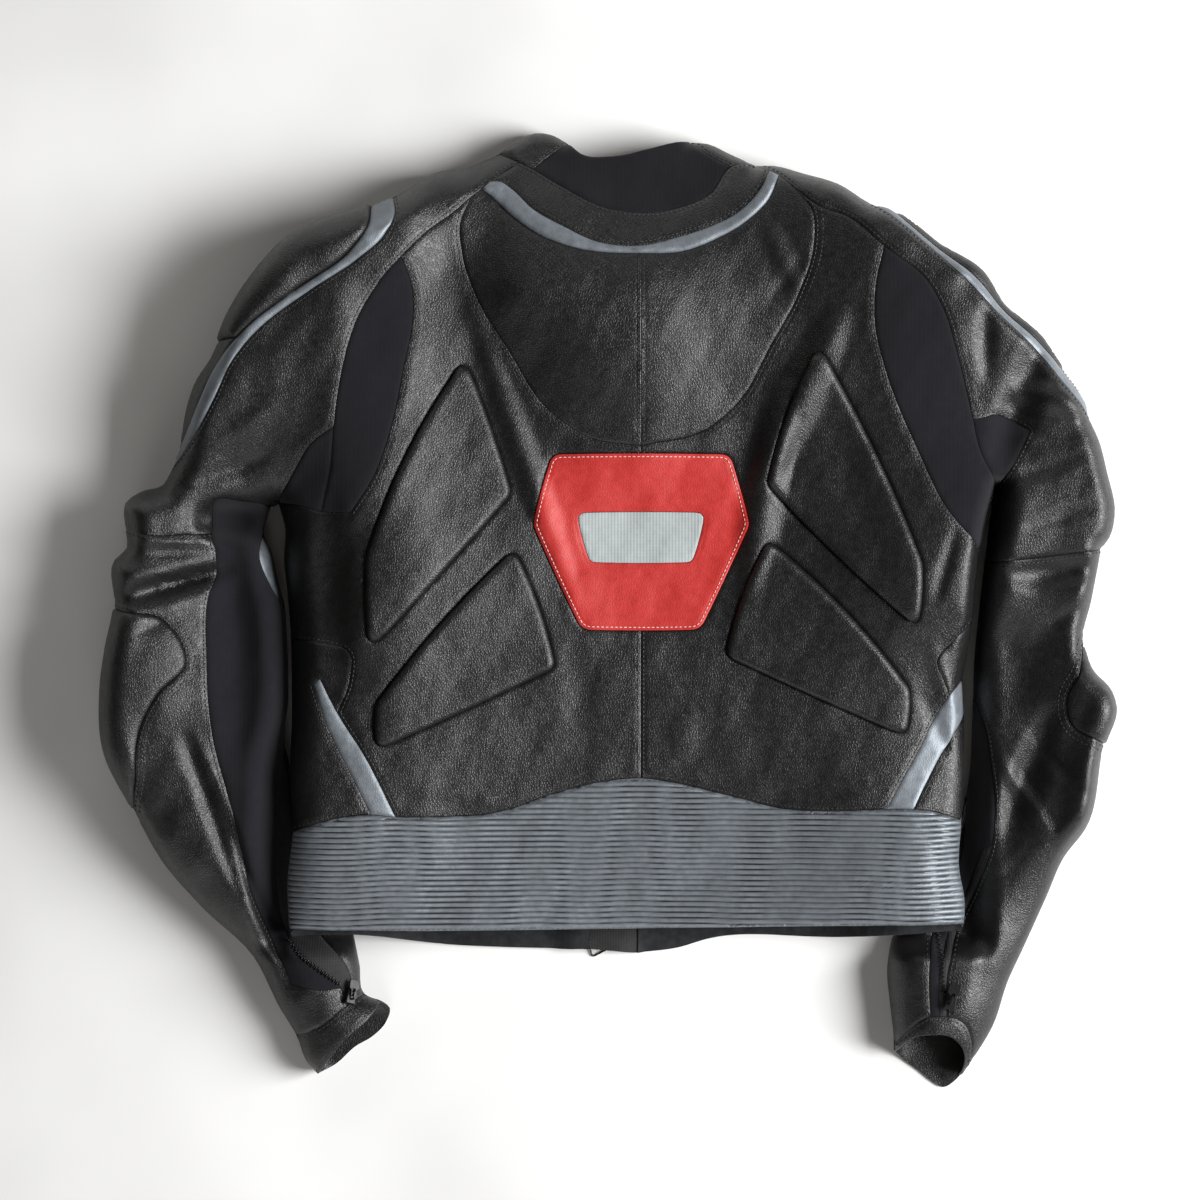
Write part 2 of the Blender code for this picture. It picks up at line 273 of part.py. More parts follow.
# Every panel: sheet, tube, wall, material, and its border as runs of seams from corner to corner
PANELS = {
    "yoke_left": ("upper", "body", LEATHER_WALL, "black_leather", [
        ("nape", "nape_l", "yoke_nape"), ("yoke_centre", "yoke_nape", "yoke_foot"),
        ("yoke_l", "yoke_foot", "yoke_top_l"), ("raglan_l", "yoke_top_l", "nape_l")]),
    "yoke_right": ("upper", "body", LEATHER_WALL, "black_leather", [
        ("nape", "nape_r", "yoke_nape"), ("yoke_centre", "yoke_nape", "yoke_foot"),
        ("yoke_r", "yoke_foot", "yoke_top_r"), ("raglan_r", "yoke_top_r", "nape_r")]),
    "back_left": ("upper", "body", LEATHER_WALL, "black_leather", [
        ("yoke_l", "yoke_foot", "yoke_top_l"), ("raglan_l", "yoke_top_l", "leaf_top_l"),
        ("leaf_l", "leaf_top_l", "leaf_foot_l"), ("leaf_foot_l", "leaf_foot_l", "gusset_foot_l"),
        ("gusset_foot_l", "gusset_foot_l", "armpit_l"), ("body_side_l", "armpit_l", "flank_top_l"),
        ("flank_l", "flank_top_l", "stripe_mid_l"), ("stripe_in_l", "stripe_mid_l", "stripe_foot_in_l"),
        ("waist_top", "stripe_foot_in_l", "back_foot"), ("back_centre", "back_foot", "yoke_foot")]),
    "back_right": ("upper", "body", LEATHER_WALL, "black_leather", [
        ("yoke_r", "yoke_foot", "yoke_top_r"), ("raglan_r", "yoke_top_r", "leaf_top_r"),
        ("leaf_r", "leaf_top_r", "leaf_foot_r"), ("body_side_r", "leaf_foot_r", "flank_top_r"),
        ("flank_r", "flank_top_r", "stripe_mid_r"), ("stripe_in_r", "stripe_mid_r", "stripe_foot_in_r"),
        ("waist_top", "stripe_foot_in_r", "back_foot"), ("back_centre", "back_foot", "yoke_foot")]),
    "leaf_left": ("upper", "body", STRETCH_WALL, "stretch_fabric", [
        ("raglan_l", "leaf_top_l", "gusset_foot_l"), ("leaf_foot_l", "gusset_foot_l", "leaf_foot_l"),
        ("leaf_l", "leaf_foot_l", "leaf_top_l")]),
    "leaf_right": ("upper", "body", STRETCH_WALL, "stretch_fabric", [
        ("raglan_r", "leaf_top_r", "armpit_r"), ("body_side_r", "armpit_r", "leaf_foot_r"),
        ("leaf_r", "leaf_foot_r", "leaf_top_r")]),
    "gusset_left": ("upper", "body", STRETCH_WALL, "stretch_fabric", [
        ("raglan_l", "gusset_foot_l", "gusset_top_l"), ("gusset_l", "gusset_top_l", "armpit_l"),
        ("gusset_foot_l", "armpit_l", "gusset_foot_l")]),
    "gusset_right": ("upper", "body", STRETCH_WALL, "stretch_fabric", [
        ("raglan_r", "armpit_r", "gusset_top_r"), ("gusset_top_r", "gusset_top_r", "gusset_out_r"),
        ("gusset_r", "gusset_out_r", "armpit_r")]),
    "side_left": ("upper", "body", LEATHER_WALL, "black_leather", [
        ("body_side_l", "flank_top_l", "waist_l"), ("waist_top", "waist_l", "stripe_foot_out_l"),
        ("stripe_out_l", "stripe_foot_out_l", "stripe_tip_out_l"),
        ("stripe_tip_l", "stripe_tip_out_l", "stripe_tip_in_l"),
        ("stripe_in_l", "stripe_tip_in_l", "stripe_mid_l"), ("flank_l", "stripe_mid_l", "flank_top_l")]),
    "flank_right": ("upper", "body", LEATHER_WALL, "black_leather", [
        ("body_side_r", "flank_top_r", "stripe_tip_in_r"), ("stripe_in_r", "stripe_tip_in_r", "stripe_mid_r"),
        ("flank_r", "stripe_mid_r", "flank_top_r")]),
    "side_right": ("upper", "body", LEATHER_WALL, "black_leather", [
        ("body_side_r", "stripe_tip_out_r", "waist_r"), ("waist_top", "waist_r", "stripe_foot_out_r"),
        ("stripe_out_r", "stripe_foot_out_r", "stripe_tip_out_r")]),
    "stripe_left": ("upper", "body", LEATHER_WALL, "silver_leather", [
        ("stripe_in_l", "stripe_tip_in_l", "stripe_foot_in_l"),
        ("waist_top", "stripe_foot_in_l", "stripe_foot_out_l"),
        ("stripe_out_l", "stripe_foot_out_l", "stripe_tip_out_l"),
        ("stripe_tip_l", "stripe_tip_out_l", "stripe_tip_in_l")]),
    "stripe_right": ("upper", "body", LEATHER_WALL, "silver_leather", [
        ("stripe_in_r", "stripe_tip_in_r", "stripe_foot_in_r"),
        ("waist_top", "stripe_foot_in_r", "stripe_foot_out_r"),
        ("stripe_out_r", "stripe_foot_out_r", "stripe_tip_out_r"),
        ("body_side_r", "stripe_tip_out_r", "stripe_tip_in_r")]),
    "waistband": ("upper", "body", BAND_WALL, "silver_leather", [
        ("waist_top", "waist_l", "waist_r"), ("body_side_r", "waist_r", "hem_r"),
        ("hem", "hem_r", "hem_l"), ("body_side_l", "hem_l", "waist_l")]),
    "collar_stand": ("upper", "body", LEATHER_WALL, "black_leather", [
        ("stand_top", "raglan_top_l", "raglan_top_r"), ("raglan_r", "raglan_top_r", "stand_end_r"),
        ("stand_foot", "stand_end_r", "stand_end_l"), ("raglan_l", "stand_end_l", "raglan_top_l")]),
    "collar_roll": ("upper", "body", LEATHER_WALL, "silver_leather", [
        ("stand_foot", "stand_end_l", "stand_end_r"), ("raglan_r", "stand_end_r", "nape_r"),
        ("nape", "nape_r", "nape_l"), ("raglan_l", "nape_l", "stand_end_l")]),
    "collar_stretch": ("upper", "body", STRETCH_WALL, "stretch_fabric", [
        ("stand_top", "tab_in_l", "tab_in_r"), ("tab_r", "tab_in_r", "tab_top_r"),
        ("collar_edge", "tab_top_r", "tab_top_l"), ("tab_l", "tab_top_l", "tab_in_l")]),
    "collar_tab_left": ("upper", "body", LEATHER_WALL, "black_leather", [
        ("tab_edge_l", "tab_out_l", "tab_top_l"), ("tab_l", "tab_top_l", "tab_in_l"),
        ("stand_top", "tab_in_l", "raglan_top_l"), ("tab_foot_l", "raglan_top_l", "tab_out_l")]),
    "collar_tab_right": ("upper", "body", LEATHER_WALL, "black_leather", [
        ("tab_edge_r", "tab_top_r", "raglan_top_r"), ("stand_top", "raglan_top_r", "tab_in_r"),
        ("tab_r", "tab_in_r", "tab_top_r")]),
    "sleeve_head_left": ("upper", "left", LEATHER_WALL, "black_leather", [
        ("tab_foot_l", "tab_out_l", "raglan_top_l"), ("raglan_l", "raglan_top_l", "gusset_top_l"),
        ("gusset_l", "gusset_top_l", "armpit_l"), ("armpit_l", "armpit_l", "sleeve_in_l"),
        ("arm_fold_l", "sleeve_in_l", "elbow_in_l"), ("head_foot_l", "elbow_in_l", "head_foot_l"),
        ("shoulder_edge_l", "head_foot_l", "strip_end_in_l"),
        ("strip_in_l", "strip_end_in_l", "strip_top_in_l"),
        ("shoulder_edge_l", "strip_top_in_l", "tab_out_l")]),
    "shoulder_strip_left": ("upper", "left", LEATHER_WALL, "silver_leather", [
        ("strip_in_l", "strip_top_in_l", "strip_end_in_l"),
        ("shoulder_edge_l", "strip_end_in_l", "strip_end_out_l"),
        ("strip_out_l", "strip_end_out_l", "strip_top_out_l"),
        ("shoulder_edge_l", "strip_top_out_l", "strip_top_in_l")]),
    "shoulder_cap_left": ("upper", "left", LEATHER_WALL, "black_leather", [
        ("strip_out_l", "strip_top_out_l", "cap_foot_in_l"), ("cap_foot_l", "cap_foot_in_l", "cap_foot_out_l"),
        ("shoulder_edge_l", "cap_foot_out_l", "strip_top_out_l")]),
    "arm_side_left": ("upper", "left", LEATHER_WALL, "black_leather", [
        ("strip_out_l", "cap_foot_in_l", "strip_end_out_l"),
        ("shoulder_edge_l", "strip_end_out_l", "cap_foot_out_l"),
        ("cap_foot_l", "cap_foot_out_l", "cap_foot_in_l")]),
    "forearm_left": ("upper", "left", LEATHER_WALL, "black_leather", [
        ("head_foot_l", "head_foot_l", "elbow_in_l"), ("stretch_out_l", "elbow_in_l", "stretch_foot_l"),
        ("stretch_foot_l", "stretch_foot_l", "zip_foot_l"), ("zip_l", "zip_foot_l", "zip_end_l"),
        ("cuff_seam_l", "zip_end_l", "cuff_seam_out_l"),
        ("forearm_edge_l", "cuff_seam_out_l", "elbow_foot_l"), ("elbow_l", "elbow_foot_l", "elbow_top_l"),
        ("forearm_edge_l", "elbow_top_l", "head_foot_l")]),
    "elbow_left": ("upper", "left", LEATHER_WALL, "black_leather", [
        ("elbow_l", "elbow_top_l", "elbow_foot_l"), ("forearm_edge_l", "elbow_foot_l", "elbow_top_l")]),
    "sleeve_stretch_left": ("upper", "left", STRETCH_WALL, "stretch_fabric", [
        ("arm_fold_l", "sleeve_in_l", "elbow_in_l"), ("stretch_out_l", "elbow_in_l", "stretch_foot_l"),
        ("stretch_foot_l", "stretch_foot_l", "zip_foot_l"), ("zip_l", "zip_foot_l", "zip_top_l"),
        ("sleeve_side_l", "zip_top_l", "flash_foot_l"), ("flash_l", "flash_foot_l", "flash_top_l"),
        ("sleeve_side_l", "flash_top_l", "sleeve_in_l")]),
    "sleeve_flash_left": ("upper", "left", LEATHER_WALL, "silver_leather", [
        ("flash_l", "flash_top_l", "flash_foot_l"), ("sleeve_side_l", "flash_foot_l", "flash_top_l")]),
    "cuff_zip_tape_left": ("upper", "left", STRETCH_WALL, "zip_tape", [
        ("zip_l", "zip_top_l", "zip_end_l"), ("cuff_seam_l", "zip_end_l", "zip_end_in_l"),
        ("zip_in_l", "zip_end_in_l", "zip_top_in_l"), ("sleeve_side_l", "zip_top_in_l", "zip_top_l")]),
    "sleeve_inner_left": ("upper", "left", LEATHER_WALL, "black_leather", [
        ("zip_in_l", "zip_top_in_l", "zip_end_in_l"), ("cuff_seam_l", "zip_end_in_l", "cuff_seam_in_l"),
        ("sleeve_side_l", "cuff_seam_in_l", "zip_top_in_l")]),
    "cuff_left": ("upper", "left", LEATHER_WALL, "black_leather", [
        ("cuff_seam_l", "cuff_seam_out_l", "cuff_seam_in_l"), ("sleeve_side_l", "cuff_seam_in_l", "edge_in_l"),
        ("cuff_edge_l", "edge_in_l", "cuff_tip_l"), ("forearm_edge_l", "cuff_tip_l", "cuff_seam_out_l")]),
    "sleeve_head_right": ("upper", "right", LEATHER_WALL, "black_leather", [
        ("raglan_r", "raglan_top_r", "gusset_top_r"), ("gusset_top_r", "gusset_top_r", "gusset_out_r"),
        ("gusset_r", "gusset_out_r", "armpit_r"), ("sleeve_side_r", "armpit_r", "elbow_in_r"),
        ("head_foot_r", "elbow_in_r", "head_foot_r"), ("shoulder_edge_r", "head_foot_r", "cap_end_r"),
        ("strip_r", "cap_end_r", "strip_top_r"), ("shoulder_edge_r", "strip_top_r", "raglan_top_r")]),
    "shoulder_strip_right": ("upper", "right", LEATHER_WALL, "silver_leather", [
        ("strip_r", "strip_top_r", "cap_end_r"), ("shoulder_edge_r", "cap_end_r", "strip_end_r"),
        ("cap_r", "strip_end_r", "cap_top_r"), ("shoulder_edge_r", "cap_top_r", "strip_top_r")]),
    "shoulder_cap_right": ("upper", "right", LEATHER_WALL, "black_leather", [
        ("cap_r", "cap_top_r", "strip_end_r"), ("shoulder_edge_r", "strip_end_r", "cap_top_r")]),
    "forearm_right": ("upper", "right", LEATHER_WALL, "black_leather", [
        ("sleeve_side_r", "elbow_in_r", "stretch_top_r"), ("stretch_out_r", "stretch_top_r", "zip_end_r"),
        ("cuff_seam_r", "zip_end_r", "cuff_out_r"), ("forearm_edge_r", "cuff_out_r", "elbow_foot_r"),
        ("elbow_r", "elbow_foot_r", "elbow_top_r"), ("forearm_edge_r", "elbow_top_r", "head_foot_r"),
        ("head_foot_r", "head_foot_r", "elbow_in_r")]),
    "elbow_right": ("upper", "right", LEATHER_WALL, "black_leather", [
        ("elbow_r", "elbow_top_r", "elbow_foot_r"), ("forearm_edge_r", "elbow_foot_r", "elbow_top_r")]),
    "sleeve_stretch_right": ("upper", "right", STRETCH_WALL, "stretch_fabric", [
        ("sleeve_side_r", "stretch_top_r", "inner_top_r"), ("inner_r", "inner_top_r", "inner_foot_r"),
        ("cuff_seam_r", "inner_foot_r", "zip_end_in_r"), ("zip_in_r", "zip_end_in_r", "zip_top_in_r"),
        ("zip_top_r", "zip_top_in_r", "zip_top_r"), ("stretch_out_r", "zip_top_r", "stretch_top_r")]),
    "cuff_zip_tape_right": ("upper", "right", STRETCH_WALL, "zip_tape", [
        ("zip_in_r", "zip_top_in_r", "zip_end_in_r"), ("cuff_seam_r", "zip_end_in_r", "zip_end_r"),
        ("stretch_out_r", "zip_end_r", "zip_top_r"), ("zip_top_r", "zip_top_r", "zip_top_in_r")]),
    "sleeve_inner_right": ("upper", "right", LEATHER_WALL, "black_leather", [
        ("inner_r", "inner_top_r", "inner_foot_r"), ("cuff_seam_r", "inner_foot_r", "cuff_in_r"),
        ("sleeve_side_r", "cuff_in_r", "inner_top_r")]),
    "cuff_right": ("upper", "right", LEATHER_WALL, "black_leather", [
        ("cuff_seam_r", "cuff_in_r", "cuff_out_r"), ("forearm_edge_r", "cuff_out_r", "edge_out_r"),
        ("cuff_edge_r", "edge_out_r", "edge_in_r"), ("sleeve_side_r", "edge_in_r", "cuff_in_r")]),
    "front_left": ("under", "body", LEATHER_WALL, "black_leather", [
        ("front_raglan_l", "armpit_l", "raglan_top_l"), ("front_neck_l", "raglan_top_l", "closure_top_l"),
        ("closure_l", "closure_top_l", "closure_hem_l"), ("front_hem_l", "closure_hem_l", "hem_l"),
        ("body_side_l", "hem_l", "armpit_l")]),
    "front_right": ("under", "body", LEATHER_WALL, "black_leather", [
        ("front_raglan_r", "armpit_r", "raglan_top_r"), ("front_neck_r", "raglan_top_r", "closure_top_r"),
        ("closure_r", "closure_top_r", "closure_hem_r"), ("front_hem_r", "closure_hem_r", "hem_r"),
        ("body_side_r", "hem_r", "armpit_r")]),
    "front_hem_left": ("under", "body", PILE_WALL, "hem_pile", [
        ("front_hem_l", "hem_l", "closure_hem_l"), ("closure_l", "closure_hem_l", "closure_foot_l"),
        ("front_edge_l", "closure_foot_l", "front_foot_l"), ("front_corner_l", "front_foot_l", "hem_l")]),
    "front_hem_right": ("under", "body", PILE_WALL, "hem_pile", [
        ("front_hem_r", "hem_r", "closure_hem_r"), ("closure_r", "closure_hem_r", "closure_foot_r"),
        ("front_edge_r", "closure_foot_r", "front_foot_r"), ("front_corner_r", "front_foot_r", "hem_r")]),
    "front_zip_tape": ("under", "body", STRETCH_WALL, "zip_tape", [
        ("closure_l", "closure_collar_l", "closure_foot_l"), ("closure_foot", "closure_foot_l", "closure_foot_r"),
        ("closure_r", "closure_foot_r", "closure_collar_r"),
        ("closure_collar", "closure_collar_r", "closure_collar_l")]),
    "collar_front_left": ("under", "body", LEATHER_WALL, "black_leather", [
        ("tab_edge_l", "tab_out_l", "tab_top_l"), ("front_collar_edge_l", "tab_top_l", "closure_collar_l"),
        ("closure_l", "closure_collar_l", "closure_top_l"), ("front_neck_l", "closure_top_l", "raglan_top_l"),
        ("tab_foot_l", "raglan_top_l", "tab_out_l")]),
    "collar_front_right": ("under", "body", LEATHER_WALL, "black_leather", [
        ("front_collar_edge_r", "closure_collar_r", "tab_top_r"), ("tab_edge_r", "tab_top_r", "raglan_top_r"),
        ("front_neck_r", "raglan_top_r", "closure_top_r"), ("closure_r", "closure_top_r", "closure_collar_r")]),
    "under_sleeve_left": ("under", "left", LEATHER_WALL, "black_leather", [
        ("tab_foot_l", "tab_out_l", "raglan_top_l"), ("front_raglan_l", "raglan_top_l", "armpit_l"),
        ("armpit_l", "armpit_l", "sleeve_in_l"), ("sleeve_side_l", "sleeve_in_l", "edge_in_l"),
        ("cuff_lip_l", "edge_in_l", "cuff_tip_l"), ("forearm_edge_l", "cuff_tip_l", "head_foot_l"),
        ("shoulder_edge_l", "head_foot_l", "tab_out_l")]),
    "under_sleeve_right": ("under", "right", LEATHER_WALL, "black_leather", [
        ("front_raglan_r", "raglan_top_r", "armpit_r"), ("sleeve_side_r", "armpit_r", "edge_in_r"),
        ("cuff_lip_r", "edge_in_r", "edge_out_r"), ("forearm_edge_r", "edge_out_r", "head_foot_r"),
        ("shoulder_edge_r", "head_foot_r", "raglan_top_r")]),
}
OUTLINES = set(ROLL)

# Corners round which an under panel turns up to meet the upper ones
TURNING_CORNERS = ("armpit_l", "armpit_r", "tab_out_l", "raglan_top_r", "edge_in_l", "cuff_tip_l",
                   "edge_in_r", "edge_out_r", "hem_l", "hem_r", "tab_top_l", "tab_top_r", "cap_foot_out_l",
                   "notch_l", "head_foot_l")

# Cuff sliders: tube, centre x and y, heading of the pull in degrees, slider length and widths, plate size
SLIDERS = {
    "cuff_slider_left": ("left", -217.0, -49.5, 72.0, 13.0, 8.6, 6.6, 8.6, 6.6),
    "cuff_slider_right": ("right", 229.5, -51.0, 76.0, 15.0, 8.8, 6.8, 8.8, 6.8),
}

# The front zip's slider and wire loop lie under the lower end of the zip tape. The loop hangs by the side
# between its second and third corner.
WIRE_LOOP = [(-35.9, -23.2, 1.6, 0.2), (-39.8, -11.0, 1.6, 0), (-27.4, -4.6, 1.6, 0.2),
             (-23.5, -16.8, 1.6, 0.2)]
LOOP_AXIS_HEIGHT = 1.7
LOOP_DROOP = 4.2  # degrees
FRONT_SLIDER = (8.0, 9.0, 2.0)  # width, length, height
LUG = (1.7, 1.4, 1.0)  # half height, half width, half of its window
TAPE_LIFT = (6.4, -32.0, -9.0, 36.0)  # height, centre x, centre y, reach of the tape's rise over the slider

# Materials: colour, roughness, metallic
MATERIALS = {
    "black_leather": ((0.012, 0.012, 0.013, 1), 0.45, 0.0),
    "silver_leather": ((0.16, 0.17, 0.18, 1), 0.38, 0.25),
    "red_leather": ((0.62, 0.035, 0.03, 1), 0.45, 0.0),
    "grey_fabric": ((0.28, 0.30, 0.30, 1), 0.7, 0.0),
    "stretch_fabric": ((0.013, 0.013, 0.018, 1), 0.85, 0.0),
    "hem_pile": ((0.018, 0.018, 0.02, 1), 0.9, 0.0),
    "zip_tape": ((0.015, 0.015, 0.017, 1), 0.8, 0.0),
    "zip_metal": ((0.12, 0.12, 0.12, 1), 0.35, 1.0),
}


def clear_scene():
    for item in list(bpy.data.objects):
        bpy.data.objects.remove(item, do_unlink=True)


def material(name):
    made = bpy.data.materials.get(name)
    if made is None:
        colour, roughness, metallic = MATERIALS[name]
        made = bpy.data.materials.new(name)
        made.use_nodes = True
        shader = made.node_tree.nodes["Principled BSDF"]
        shader.inputs["Base Color"].default_value = colour
        shader.inputs["Roughness"].default_value = roughness
        shader.inputs["Metallic"].default_value = metallic
        made.diffuse_color = colour
    return made


def place(row):
    return np.array(CORNERS[row] if isinstance(row, str) else row, dtype=float)


def spline(rows, at):
    """Points of the smooth curve through rows at the parameters at, whole numbers being the rows."""
    chord = np.diff(rows, axis=0)
    length = np.hypot(*chord.T)[:, None]
    slope = chord / length
    lead = np.vstack([slope[:1], (slope[:-1] * length[1:] + slope[1:] * length[:-1])
                      / (length[1:] + length[:-1]), slope[-1:]])
    cell = np.clip(np.floor(at).astype(int), 0, len(rows) - 2)
    t, size = (at - cell)[:, None], length[cell]
    return (rows[cell] * (2 * t**3 - 3 * t**2 + 1) + rows[cell + 1] * (3 * t**2 - 2 * t**3)
            + lead[cell] * size * (t**3 - 2 * t**2 + t) + lead[cell + 1] * size * (t**3 - t**2))


def distance(points, line):
    """Distance of each point from a line of points."""
    start, along = line[:-1], np.diff(line, axis=0)
    length = np.maximum((along**2).sum(1), 1e-9)
    from_start = points[:, None, :] - start[None, :, :]
    t = np.clip((from_start * along).sum(2) / length, 0, 1)
    return np.hypot(*np.moveaxis(from_start - t[:, :, None] * along, 2, 0)).min(1)


class Network:
    """The seams as lines of points, with the corners at known places on them."""

    def __init__(self, step):
        self.step = step
        self.lines, self.marks = {}, {}
        for name in [n for n in SEAMS if n in OUTLINES] + [n for n in SEAMS if n not in OUTLINES]:
            self.add(name)

    def add(self, name):
        rows = np.array([place(row) for row in SEAMS[name]])
        points, marks = [rows[0]], {SEAMS[name][0]: 0}
        for i in range(len(rows) - 1):
            fine = spline(rows, np.linspace(i, i + 1, 41))
            gaps = np.hypot(*np.diff(fine, axis=0).T)
            step = np.full(len(gaps), self.step)
            if name not in OUTLINES:
                middle = (fine[:-1] + fine[1:]) / 2
                near = np.full(len(middle), 1e9)
                for edge in OUTLINES & set(self.lines):
                    near = np.minimum(near, distance(middle, self.lines[edge]))
                step = np.clip(EDGE_ROWS[0] + 0.55 * near, EDGE_ROWS[0], self.step)
            count = np.concatenate([[0], np.cumsum(gaps / step)])
            pieces = max(1, math.ceil(count[-1] - 0.2))
            at = np.interp(np.linspace(0, count[-1], pieces + 1)[1:], count, np.linspace(i, i + 1, 41))
            points.extend(spline(rows, np.append(at[:-1], i + 1.0)))
            if isinstance(SEAMS[name][i + 1], str):
                marks[SEAMS[name][i + 1]] = len(points) - 1
        self.lines[name] = np.array(points)
        self.marks[name] = marks

    def run(self, seam, start, end):
        """Points of a seam from one corner to another, in that order."""
        a, b = self.marks[seam][start], self.marks[seam][end]
        line = self.lines[seam]
        return line[a:b + 1] if a < b else line[b:a + 1][::-1]


def ease(value, low, high):
    t = np.clip((value - low) / (high - low), 0, 1)
    return t * t * (3 - 2 * t)


def round_over(share):
    """The quarter circle of a rolled edge: 0 at the edge, 1 past the roll."""
    t = np.clip(share, 0, 1)
    return np.sqrt(1 - (1 - t) ** 2)


class Form:
    """Heights of the jacket over the surface, in mm."""

    def __init__(self, network):
        self.lines = network.lines

    def crown(self, points):
        total, weight = np.zeros(len(points)), np.full(len(points), 1e-9)
        for x, y, height in CROWNS:
            w = np.exp(-((points[:, 0] - x) ** 2 + (points[:, 1] - y) ** 2) / CROWN_REACH**2) + 1e-7
            total += w * height
            weight += w
        return total / weight

    def under_body(self, points, tube):
        """How much of a sleeve's height the body presses down, from 0 to 1."""
        x, y = points.T
        inside = x + 292 if tube == "left" else 268 - x
        return ease(inside, 0, 28) * ease(y, -24, -4) * (1 - ease(y, 105, 160))

    def lift(self, points):
        """Height of the sleeves that the body's lower corners lie on."""
        x, y = points.T
        total = np.zeros(len(points))
        for name, side in (("sleeve_side_l", -1), ("sleeve_side_r", 1)):
            line = self.lines[name][::-1]
            edge = np.interp(y, line[:, 1], line[:, 0]) if line[0, 1] < line[-1, 1] else 0
            into = np.where((x - edge) * side > 0, 1, -1) * distance(points, self.lines[name])
            total = np.maximum(total, ease(into, -64, 10))
        return BODY_LIFT * total * (1 - ease(y, 108, 170))

    def levels(self, points, tube):
        """Lowest height, turning height and crown at each point."""
        low = self.lift(points) if tube == "body" else np.zeros(len(points))
        top = self.crown(points)
        if tube != "body":
            pressed = self.under_body(points, tube)
            top = top + (np.minimum(top, SLEEVE_UNDER_BODY) - top) * pressed
        return low, low + TURN_SHARE * (top - low), top

    def shares(self, points, tube, scale=1.0):
        total = np.ones(len(points))
        for side in TUBES[tube]:
            share = np.full(len(points), 1.0)
            for name in side:
                share = np.minimum(share, distance(points, self.lines[name]) / (ROLL[name] * scale))
            total *= round_over(share)
        return total

    def folds(self, points, tube):
        total = np.zeros(len(points))
        for kind, x0, y0, x1, y1, half, depth in FOLDS:
            if kind not in (tube, "all"):
                continue
            start, along = np.array((x0, y0), float), np.array((x1 - x0, y1 - y0), float)
            t = ((points - start) @ along) / (along @ along)
            near = np.hypot(*(points - start - np.clip(t, 0, 1)[:, None] * along).T)
            t = np.clip(t, 0, 1)
            total += depth * np.cos(np.clip(near / half, 0, 1) * math.pi / 2) ** 2 * ease(t - t * t, 0, 0.2)
        return total

    def upper(self, points, tube):
        low, turn, top = self.levels(points, tube)
        share = self.shares(points, tube)
        return turn + (top - self.folds(points, tube) * share - turn) * share

    def under(self, points, tube):
        low, turn, top = self.levels(points, tube)
        near = np.full(len(points), 1e9)
        for name in {n for side in TUBES[tube] for n in side}:
            near = np.minimum(near, distance(points, self.lines[name]))
        height, x, y, reach = TAPE_LIFT
        rise = 0.0
        if tube == "body":
            rise = height * (1 - ease(np.hypot(points[:, 0] - x, points[:, 1] - y), reach * 0.45, reach))
        return rise + low + (turn - low) * (1 - round_over(near / UNDER_ROLL))

    def facing(self, points, tube, sheet):
        """Unit direction out of the wall at each point."""
        rule = self.upper if sheet == "upper" else self.under
        h = 0.4
        dx = (rule(points + (h, 0), tube) - rule(points - (h, 0), tube)) / (2 * h)
        dy = (rule(points + (0, h), tube) - rule(points - (0, h), tube)) / (2 * h)
        out = np.stack([-dx, -dy, np.ones(len(points))], 1)
        if sheet == "under":
            out = -out
        return out / np.linalg.norm(out, axis=1)[:, None]


def outward(network):
    """For each tube, the level direction out of the jacket at each point of its outlines."""
    found = {"body": {}, "left": {}, "right": {}}
    for tube, end, side in (("left", "_l", 1), ("right", "_r", -1)):
        parts = [network.lines[name + end] for name in ("tab_edge", "shoulder_edge", "forearm_edge")]
        if tube == "left":
            parts[0] = parts[0][::-1]
        line = np.vstack([parts[0]] + [part[1:] for part in parts[1:]])
        found[tube].update(directions(line, side))
        found["body"].update(found[tube])
        found[tube].update(directions(network.lines["sleeve_side" + end], -side))
        found["body"].update(directions(network.lines["body_side" + end], side))
    return found


def directions(line, side):
    tangent = np.gradient(line, axis=0)
    normal = np.stack([tangent[:, 1], -tangent[:, 0]], 1) * side
    normal /= np.linalg.norm(normal, axis=1)[:, None]
    return {key(point): value for point, value in zip(line, normal)}


def key(point):
    return (round(float(point[0]), 3), round(float(point[1]), 3))


def rounded(rows):
    """A closed outline from corners with a radius, and sides with a bulge."""
    corner = np.array([row[:2] for row in rows], dtype=float)
    starts, ends = [], []
    for i, row in enumerate(rows):
        before, after = corner[i - 1] - corner[i], corner[(i + 1) % len(rows)] - corner[i]
        before, after = before / np.linalg.norm(before), after / np.linalg.norm(after)
        half = math.acos(float(np.clip(before @ after, -1, 1))) / 2
        reach = row[2] / math.tan(half)
        starts.append(corner[i] + before * reach)
        ends.append(corner[i] + after * reach)
    points = []
    for i, row in enumerate(rows):
        points += [starts[i], (starts[i] + ends[i]) / 4 + corner[i] / 2, ends[i]]
        side = starts[(i + 1) % len(rows)] - ends[i]
        length = np.linalg.norm(side)
        away = np.array((side[1], -side[0])) / length
        if away @ (ends[i] - corner.mean(0)) < 0:
            away = -away
        pieces = max(1, round(length / PANEL_STEP))
        for t in np.arange(1, pieces) / pieces:
            points.append(ends[i] + side * t + away * row[3] * 4 * t * (1 - t))
    line = np.array(points)
    return line if area(line) > 0 else line[::-1]


def area(ring):
    x, y = ring.T
    return 0.5 * float(np.sum(x * np.roll(y, -1) - np.roll(x, -1) * y))


